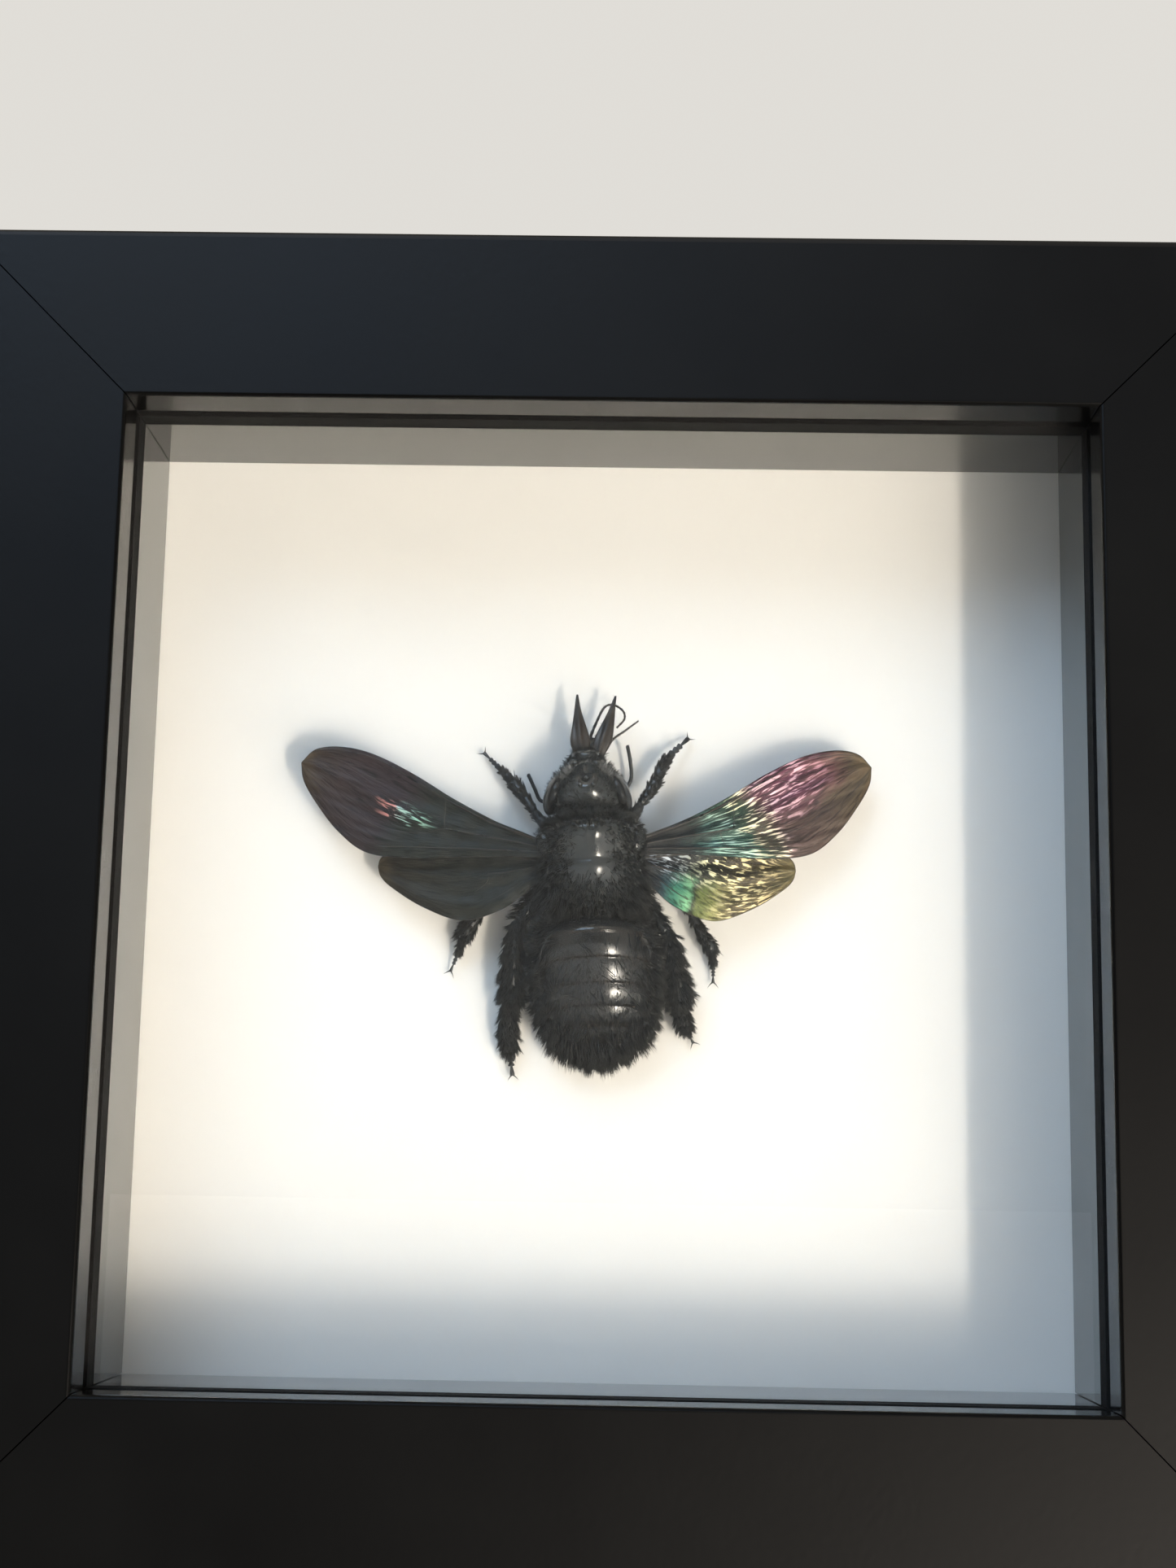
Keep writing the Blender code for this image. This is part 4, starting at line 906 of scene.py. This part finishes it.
def sideways(way):
    """The level direction at right angles to this one."""
    return Vector((way.y, -way.x, 0)).normalized()


def thinner_on_top(c, n):
    return np.clip(1.2 - np.abs(n[:, 2]) * 0.5, 0, 1)


def legs():
    """Each leg in its own segments, from hip to claws, with spurs and hair."""
    shapes = {name: drawn_out([(t, 0, 0, share / 2, share / 2) for t, share in profile], 20)
              for name, profile in (("thigh", THIGH), ("shin", SHIN), ("instep", INSTEP), ("toe", TOE))}
    for number, (name, route) in enumerate(LEGS.items()):
        knee, heel, ankle, skin, hairs = LEG_BUILD[name]
        places = [in_bee(*point[:3]) for point in route]
        widths = [point[3] * skin for point in route]
        depths = [point[4] * skin for point in route]
        parts = [ball(places[0].lerp(places[1], 0.1), (widths[0] * 0.62, widths[0] * 0.62, depths[0] * 0.55),
                      segments=20)]
        furs = []
        spans = zip(("thigh", "shin", "instep"), (0, knee, heel), (knee, heel, ankle), hairs)
        for kind, a, b, (count, length) in spans:
            stretch = places[b] - places[a]
            segment = copied(shapes[kind], places[a] - stretch * OVERLAP, places[b] + stretch * OVERLAP,
                             max(widths[a + 1:b + 1]), max(depths[a + 1:b + 1]))
            if b - a > 1:
                # A long segment follows the route's own bow through one joint in its middle.
                start, middle = places[a], places[(a + b) // 2]
                t = (middle - start).dot(stretch) / stretch.length_squared
                sag = middle - (start + stretch * t)
                shaped(segment, lambda p: p + sag * max(0.0, 1 - (((p - start).dot(stretch)
                                                                   / stretch.length_squared - t) / 0.6) ** 2))
            parts.append(segment)
            furs.append(fur(segment, thinner_on_top, count=count, flow=stretch.normalized() * 1.05, length=length,
                            radius=0.022 + 0.01 * length, seed=100 + number * 10 + len(furs), stand=0.6,
                            tufts=count // HAIRS_IN_A_TUFT))
        foot = places[-1] - places[ankle]
        joints = [places[ankle] + foot * share for share in FOOT_JOINTS]
        for share, one, two in zip(FOOT_WIDTHS, joints, joints[1:]):
            wide = max(widths[ankle], LEAST_INSTEP) * share
            parts.append(copied(shapes["toe"], one - foot * 0.01, two + foot * 0.02, wide, wide * 0.8))
        ahead = foot.normalized()
        for side in (-1, 1):
            parts.append(spike(joints[-1] - ahead * 0.05, ahead * 0.55 + sideways(ahead) * side, CLAW_LENGTH,
                               CLAW_RADIUS, ahead * 0.45 + Vector((0, 0, -0.15))))
        shin_way = (places[heel] - places[knee]).normalized()
        for side in ((-1, 1) if "hind" in name else (1 if "left" in name else -1,)):
            out = sideways(shin_way) * side
            parts.append(spike(places[heel] + out * widths[heel] * 0.3, shin_way + out * 0.5, SPUR_LENGTH, SPUR_RADIUS,
                               shin_way * 0.1))
        settled(joined(parts), f"{name}_segments", "leg_chitin", "bee_black", f"bee_{name}")
        settled(joined(furs), f"{name}_hair", "bristle", "bee_black")
    for shape in shapes.values():
        bpy.data.objects.remove(shape)


# Feelers and mouthparts

ANTENNAE = {
    "antenna_left": ((-5.0, 14.4, 2.6), (-6.6, 13.0, 1.6), (-7.9, 12.9, 1.3), (-8.7, 14.4, 1.4), (-9.5, 16.1, 1.5)),
    "antenna_right": ((0.6, 14.9, 2.6), (2.1, 14.4, 1.9), (2.9, 15.6, 2.0), (2.8, 17.6, 2.3), (2.4, 19.6, 2.6)),
}
BLADES = {
    "mouth_blade_left": ((-3.0, 17.9, 4.9, 1.7, 1.2), (-3.2, 19.5, 4.9, 2.4, 1.1), (-3.4, 21.6, 4.7, 1.6, 0.8),
                         (-3.6, 23.5, 4.4, 0.8, 0.5), (-3.7, 25.4, 4.0, 0.25, 0.25)),
    "mouth_blade_right": ((-1.1, 17.9, 4.9, 1.7, 1.2), (-0.6, 19.5, 4.9, 2.3, 1.1), (0.0, 21.6, 4.7, 1.6, 0.8),
                          (0.5, 23.5, 4.4, 0.8, 0.5), (0.9, 25.3, 4.0, 0.25, 0.25)),
}
TONGUE = ((-2.1, 18.4, 3.6, 0.5), (-2.0, 20.3, 3.5, 0.42), (-1.3, 22.3, 3.3, 0.36), (-0.4, 24.1, 3.1, 0.32),
          (0.7, 24.4, 3.0, 0.3), (1.8, 23.7, 3.0, 0.3), (2.0, 22.7, 3.0, 0.28), (1.1, 21.6, 3.0, 0.26))
LIP_FEELER = ((-0.4, 18.4, 3.4, 0.4), (0.6, 20.1, 3.1, 0.34), (2.0, 21.2, 3.0, 0.3), (3.7, 22.5, 3.0, 0.22))
# A feeler is a plain shaft up to this share of its length, then short joints that are pinched where they meet.
FEELER_STEPS, SHAFT_END, JOINT_LENGTH = 60, 0.32, 0.0618
# A blade's raised rib and the hollows beside it, in shares of its half width.
BLADE_HALF_WIDTH, BLADE_LEVEL, RIB_HEIGHT, HOLLOW_DEPTH = 0.9, 4.4, 0.16, 0.14


def feelers_and_mouth():
    """Beaded feelers, the two pointed sheaths of the tongue, the tongue's thin coil and the lip feeler."""
    for name, route in ANTENNAE.items():
        beads = []
        for n, place in enumerate(smooth_path([in_bee(*point) for point in route], FEELER_STEPS + 1)):
            along = n / FEELER_STEPS
            radius = 0.18 + 0.05 * min(along / 0.3, 1.0)
            if along > SHAFT_END:
                radius *= 0.86 + 0.14 * min(1.0, 2.2 * abs(math.sin(math.pi * (along - SHAFT_END) / JOINT_LENGTH)))
            beads.append((*place, radius * (0.55 if n == FEELER_STEPS else 1.0)))
        made = tubes([beads], 12)
        down = fur(made, everywhere, count=160, flow=(0, 0.3, 0), length=0.2, radius=0.01, seed=61, stand=0.9)
        settled(made, name, "leg_chitin", "bee_black", f"bee_{name}")
        settled(down, f"{name}_hair", "bristle", "bee_black")
    for (name, route), seed in zip(BLADES.items(), (70, 72)):
        rings = []
        for x, y, z, wide, thick in reversed(smooth_path(route, 26)):
            place = in_bee(x, y, z)
            rings.append((-place.y, place.x, place.z, max(wide / 2, 0.04), max(thick / 2, 0.04)))
        start, x, y, wide, high = rings[-1]
        rings.append((start + 0.5, x, y, wide * 0.85, high * 0.85))
        blade = turned(drawn_out(rings, 28), LENGTHWISE)
        middle = [in_bee(*point[:3]) for point in route]

        def ribbed(p):
            """A raised rib down the blade's back, with hollowed flanks."""
            centre = float(np.interp(p.y, [m.y for m in middle], [m.x for m in middle]))
            off = abs(p.x - centre) / BLADE_HALF_WIDTH
            if p.z > BLADE_LEVEL:
                p.z += RIB_HEIGHT * bell(off, 0.2) - HOLLOW_DEPTH * bell(off - 0.55, 0.25)
            return p

        shaped(blade, ribbed)
        down = fur(blade, lambda c, n: (np.abs(n[:, 0]) > 0.5) * 1.0, count=130, flow=(0, 0.9, 0), length=0.4,
                   radius=0.012, seed=seed, stand=0.4)
        settled(blade, name, "horn_brown", "bee_brown", f"bee_{name}")
        settled(down, f"{name}_hair", "bristle", "bee_brown")
    for name, route, count, seed in (("tongue", TONGUE, 260, 81), ("lip_feeler", LIP_FEELER, 60, 82)):
        fine = smooth_path([(*in_bee(*point[:3]), point[3] / 2) for point in route], 8 * len(route))
        # The faint waves along it are its rings.
        made = tubes([[(x, y, z, radius * (0.9 + 0.1 * math.cos(n * 1.6)))
                       for n, (x, y, z, radius) in enumerate(fine)]], 10)
        down = fur(made, everywhere, count=count, flow=(0, 0.2, 0), length=0.22, radius=0.009, seed=seed, stand=0.9)
        settled(made, name, "horn_brown", "bee_brown", f"bee_{name}")
        settled(down, f"{name}_hair", "bristle", "bee_brown")


# Wings

FOREWING_EDGES = (
    ((0.0, 0.9), (3.0, 1.0), (7.0, 1.2), (12.0, 2.0), (17.5, 3.2), (22.5, 3.8), (26.4, 3.3), (28.9, 2.0), (29.9, 0.0)),
    ((0.0, -0.9), (3.0, -1.9), (8.0, -3.8), (14.0, -6.2), (19.0, -7.4), (23.0, -6.2), (26.6, -3.9), (28.9, -1.9),
     (29.9, 0.0)),
)
HINDWING_EDGES = (
    ((0.0, 0.7), (3.0, 1.2), (7.0, 1.7), (12.0, 2.0), (15.5, 1.9), (18.0, 1.3), (19.1, 0.5), (19.4, -0.5)),
    ((0.0, -0.9), (2.0, -3.0), (5.0, -5.3), (9.4, -6.7), (14.0, -5.2), (17.6, -3.0), (19.0, -1.7), (19.4, -0.5)),
)
# Root, sweep to the front, how far the tip hangs below the root, and stretch.
WING_SET = {
    "forewing_left": (FOREWING_EDGES, (5.2, 1.7, 8.6), math.radians(22.6), 3.6, 1.05),
    "forewing_right": (FOREWING_EDGES, (5.2, 1.7, 8.6), math.radians(18.2), 5.0, 1.0),
    "hindwing_left": (HINDWING_EDGES, (5.2, 0.2, 7.2), math.radians(4.0), 3.2, 1.04),
    "hindwing_right": (HINDWING_EDGES, (5.2, 0.2, 7.2), math.radians(-2.5), 3.2, 0.97),
}
# Veins as a thickness in millimetres and points along and across the wing, both from 0 to 1.
FOREWING_VEINS = (
    (0.26, ((0.0, 0.1), (0.2, 0.07), (0.4, 0.06), (0.57, 0.06))),
    (0.2, ((0.57, 0.06), (0.7, 0.04), (0.86, 0.06))),
    (0.16, ((0.6, 0.07), (0.66, 0.2), (0.74, 0.26), (0.81, 0.21), (0.86, 0.08))),
    (0.2, ((0.01, 0.42), (0.15, 0.42), (0.28, 0.44), (0.36, 0.46))),
    (0.16, ((0.42, 0.07), (0.4, 0.2), (0.385, 0.3), (0.36, 0.46))),
    (0.14, ((0.385, 0.3), (0.46, 0.36), (0.53, 0.4), (0.6, 0.43), (0.7, 0.45), (0.79, 0.42))),
    (0.13, ((0.59, 0.1), (0.555, 0.24), (0.53, 0.4))),
    (0.13, ((0.65, 0.18), (0.63, 0.3), (0.645, 0.44))),
    (0.13, ((0.75, 0.26), (0.765, 0.36), (0.75, 0.44))),
    (0.13, ((0.6, 0.43), (0.57, 0.56), (0.52, 0.66))),
    (0.13, ((0.72, 0.45), (0.73, 0.58), (0.7, 0.68))),
    (0.14, ((0.36, 0.46), (0.42, 0.6), (0.52, 0.66), (0.62, 0.7), (0.7, 0.68))),
    (0.13, ((0.31, 0.45), (0.3, 0.62), (0.3, 0.8))),
    (0.18, ((0.01, 0.7), (0.15, 0.78), (0.3, 0.8), (0.45, 0.84), (0.56, 0.9))),
)
HINDWING_VEINS = (
    (0.22, ((0.0, 0.15), (0.25, 0.1), (0.45, 0.08), (0.6, 0.04))),
    (0.14, ((0.45, 0.09), (0.52, 0.16), (0.65, 0.2), (0.82, 0.24))),
    (0.18, ((0.01, 0.4), (0.25, 0.42), (0.38, 0.4))),
    (0.13, ((0.5, 0.15), (0.46, 0.28), (0.38, 0.4))),
    (0.14, ((0.38, 0.4), (0.55, 0.45), (0.72, 0.5), (0.85, 0.55))),
    (0.14, ((0.38, 0.4), (0.42, 0.55), (0.55, 0.68), (0.66, 0.78))),
    (0.15, ((0.01, 0.62), (0.2, 0.72), (0.42, 0.82))),
    (0.12, ((0.3, 0.41), (0.31, 0.6), (0.28, 0.75))),
)
VEINS = {"forewing": FOREWING_VEINS, "hindwing": HINDWING_VEINS}
GRIDS = {"forewing": (160, 56), "hindwing": (112, 48)}
STATIONS = 320
# The skin's relief: its flutes, the puckers of its inner half and the streaks of its outer half.
FLUTE_HEIGHT, FLUTES, PUCKER_HEIGHT, STREAK_HEIGHT = 0.11, 2.6, 0.24, 0.2
SKIN_THICKNESS, RIM_RADIUS, RIM_STEPS = 0.09, 0.055, 60


class Wing:
    """Where a wing's skin is, at any share along it and across it."""

    def __init__(self, name):
        edges, self.root, self.sweep, self.droop, self.stretch = WING_SET[name]
        self.mirror = -1 if name.endswith("left") else 1
        self.front, self.back = (smooth_path(edge, STATIONS + 1) for edge in edges)
        self.reach = edges[0][-1][0]
        self.steps = np.linspace(0, 1, STATIONS + 1)
        self.lengths = np.array([p.x for p in self.front]) / self.reach
        self.seed = len(name) * 7.3

    def station(self, along):
        """The step on the edges, from 0 to 1, at this share of the wing's length."""
        return float(np.interp(along, self.lengths, self.steps))

    def along(self, station):
        """The share of the wing's length at this step."""
        return float(np.interp(station, self.steps, self.lengths))

    def place(self, station, across):
        """The point of the skin, with its flutes and wrinkles."""
        number = min(int(round(station * STATIONS)), STATIONS)
        front, back = self.front[number], self.back[number]
        flat = front.lerp(back, across)
        share = flat.x / self.reach
        fade = min((front - back).length / 4, 1.0)
        outer = max(0.0, min((share - 0.5) / 0.15, 1.0))
        fluted = FLUTE_HEIGHT * math.sin(math.tau * FLUTES * across + 0.8)
        pucker = noise.noise(Vector((flat.x * 0.55, flat.y * 0.75, self.seed))) * PUCKER_HEIGHT * (1.0 - outer)
        streak = noise.noise(Vector((flat.x * 0.2, flat.y * 1.15, self.seed + 4))) * STREAK_HEIGHT * outer
        swept = Matrix.Rotation(self.sweep, 2) @ Vector((flat.x * self.stretch, flat.y))
        height = self.root[2] - self.droop * max(share, 0.0) ** 1.15 + 0.05 * flat.y
        return Vector((self.mirror * (self.root[0] + swept.x), self.root[1] + swept.y,
                       height + (fluted + pucker + streak) * fade))


def wings():
    """Four wings: a fluted, wrinkled skin with its round veins and its rim on it."""
    for name in WING_SET:
        wing = Wing(name)
        kind, side = name.split("_")
        bpy.ops.object.select_all(action="DESELECT")
        bpy.ops.mesh.primitive_grid_add(x_subdivisions=GRIDS[kind][0], y_subdivisions=GRIDS[kind][1], size=1.0)
        skin = bpy.context.object
        shares = [(v.co.x + 0.5, 0.5 - v.co.y) for v in skin.data.vertices]
        for point, (station, across) in zip(skin.data.vertices, shares):
            point.co = wing.place(station, across)
        chart = skin.data.uv_layers.active.data
        for loop in skin.data.loops:
            station, across = shares[loop.vertex_index]
            chart[loop.index].uv = (wing.along(station), across)
        bpy.ops.object.mode_set(mode="EDIT")
        faced_outwards(skin, doubles=0.004)
        applied(skin, "SOLIDIFY", thickness=SKIN_THICKNESS, offset=0.0)
        bpy.ops.object.shade_smooth()
        lines = []
        for thick, points in VEINS[kind]:
            fine = smooth_path(points, 10 * len(points))
            line = []
            for n, (along, across) in enumerate(fine):
                place = wing.place(wing.station(min(max(along, 0.0), 1.0)), across)
                radius = thick / 2 * (1.0 - 0.35 * along)
                line.append((*place, radius * (0.5 if n == len(fine) - 1 else 1.0)))
            lines.append(line)
        rim = [wing.place(n / RIM_STEPS, 0.004) for n in range(RIM_STEPS)]
        rim += [wing.place(1 - n / RIM_STEPS, 0.996) for n in range(RIM_STEPS)]
        lines.append([(*place, RIM_RADIUS) for place in rim])
        # The right wings take the painted lit copy of the film, the left wings the painted shaded copy.
        settled(skin, f"{name}_membrane", f"{kind}_film_{side}", "bee_wing", f"bee_{name}")
        settled(tubes(lines), f"{name}_veins", "wing_vein", "bee_wing")


head()
thorax()
abdomen()
legs()
feelers_and_mouth()
wings()

# The part's own nodes that stay

FRAME_FINISHES = {
    "frame_rail": "satin_lacquer", "glass_pane": "picture_glass", "black_fillet": "black_card",
    "black_liner": "gloss_film", "white_backdrop": "white_board", "back_panel": "hardboard",
    "fixing_tab": "zinc_plate", "sawtooth": "zinc_plate", "hanger": "zinc_plate",
}
for name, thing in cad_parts.items():
    for start, finish in FRAME_FINISHES.items():
        if name.startswith(start):
            thing.data.materials.clear()
            thing.data.materials.append(FINISHES[finish])


# Floor, light and camera

bpy.ops.object.select_all(action="DESELECT")
bpy.ops.mesh.primitive_plane_add(size=6.0, location=(0, 0, 0))
floor = bpy.context.object
floor.name = "studio_floor"
floor.data.materials.append(FINISHES["studio_paper"])
# The low window reaches below the floor, so the floor casts no shadow. The glass would mirror its far edge as a
# line across the board, so it isn't seen in gloss either.
floor.visible_shadow = False
floor.visible_glossy = False

world = bpy.data.worlds.new("studio")
bpy.context.scene.world = world
world.use_nodes = True
tree = world.node_tree
tree.nodes.clear()
rays = add(tree, "LightPath")
seen = add(tree, "Background", {"Color": "EBE8E2", "Strength": 0.9})
# The room is dim behind the viewer, so the glass mirrors nothing there, and brighter all round.
towards = add(tree, "SeparateXYZ", {0: add(tree, "TexCoord").outputs["Generated"]})
dim = add(tree, "MapRange", {"Value": towards.outputs["Y"], "From Min": -0.97, "From Max": -0.8, "To Min": 0.02,
                             "To Max": 0.24})
around = add(tree, "Background", {"Color": "F6ECDC", "Strength": dim})
mixed = add(tree, "MixShader", {0: rays.outputs["Is Camera Ray"], 1: around, 2: seen})
tree.links.new(mixed.outputs[0], tree.nodes.new("ShaderNodeOutputWorld").inputs[0])

# Rectangular lamps that face the frame's middle: place, size, watts and colour. The window is low on the right, as
# one tall narrow lamp for the sharp edge of shade on the board and a wider one for the glints on the bee.
MIDDLE = Vector((0.0, -0.01, 0.075))
WINDOW = (0.48, -0.90, -0.367)
LAMPS = {
    "window_light": (WINDOW, (0.022, 0.52), 3.0, "FFF2E3"),
    "window_glow": (WINDOW, (0.07, 0.2), 3.9, "FFF2E3"),
    "sky_light": ((-0.37, -0.91, 0.877), (0.7, 0.5), 6.1, "BCDCFF"),
    "ceiling_light": ((-0.05, -0.42, 0.75), (0.7, 0.4), 0.6, "FFE4C6"),
    "back_light": ((0.3, 0.8, 0.6), (0.6, 0.6), 3.0, "FFFFFF"),
}
for name, (place, size, power, colour) in LAMPS.items():
    data = bpy.data.lights.new(name, "AREA")
    data.shape = "RECTANGLE"
    data.size, data.size_y = size
    data.energy = power
    data.color = linear(colour)[:3]
    # Sampled as a lamp alone, or most of the window's glint on the bee's shell is lost on the way through the glass.
    data.cycles.use_multiple_importance_sampling = place != WINDOW
    lamp = bpy.data.objects.new(name, data)
    bpy.context.scene.collection.objects.link(lamp)
    lamp.location = place
    lamp.rotation_euler = (MIDDLE - Vector(place)).to_track_quat("-Z", "Y").to_euler()

# The camera's place and lens are fitted to the corners of the opening and the edges of the walls in the photo.
PHOTO_HEIGHT, FOCAL_LENGTH_PIXELS, SENSOR = 1927, 2738.76, 36.0
CAMERA_PLACE, CAMERA_TURNS = (0.002848, -0.030956, 0.275765), (("X", 0.172286), ("Y", 0.0190415), ("Z", 0.0154053))
lens = bpy.data.cameras.new("camera")
lens.sensor_width = SENSOR
lens.lens = FOCAL_LENGTH_PIXELS / PHOTO_HEIGHT * SENSOR
lens.clip_start, lens.clip_end = 0.01, 50.0
camera = bpy.data.objects.new("camera", lens)
bpy.context.scene.collection.objects.link(camera)
camera.matrix_world = UPRIGHT @ Matrix.Translation(CAMERA_PLACE)
for axis, angle in CAMERA_TURNS:
    camera.matrix_world = camera.matrix_world @ Matrix.Rotation(angle, 4, axis)
bpy.context.scene.camera = camera
bpy.context.scene.view_settings.view_transform = "Standard"
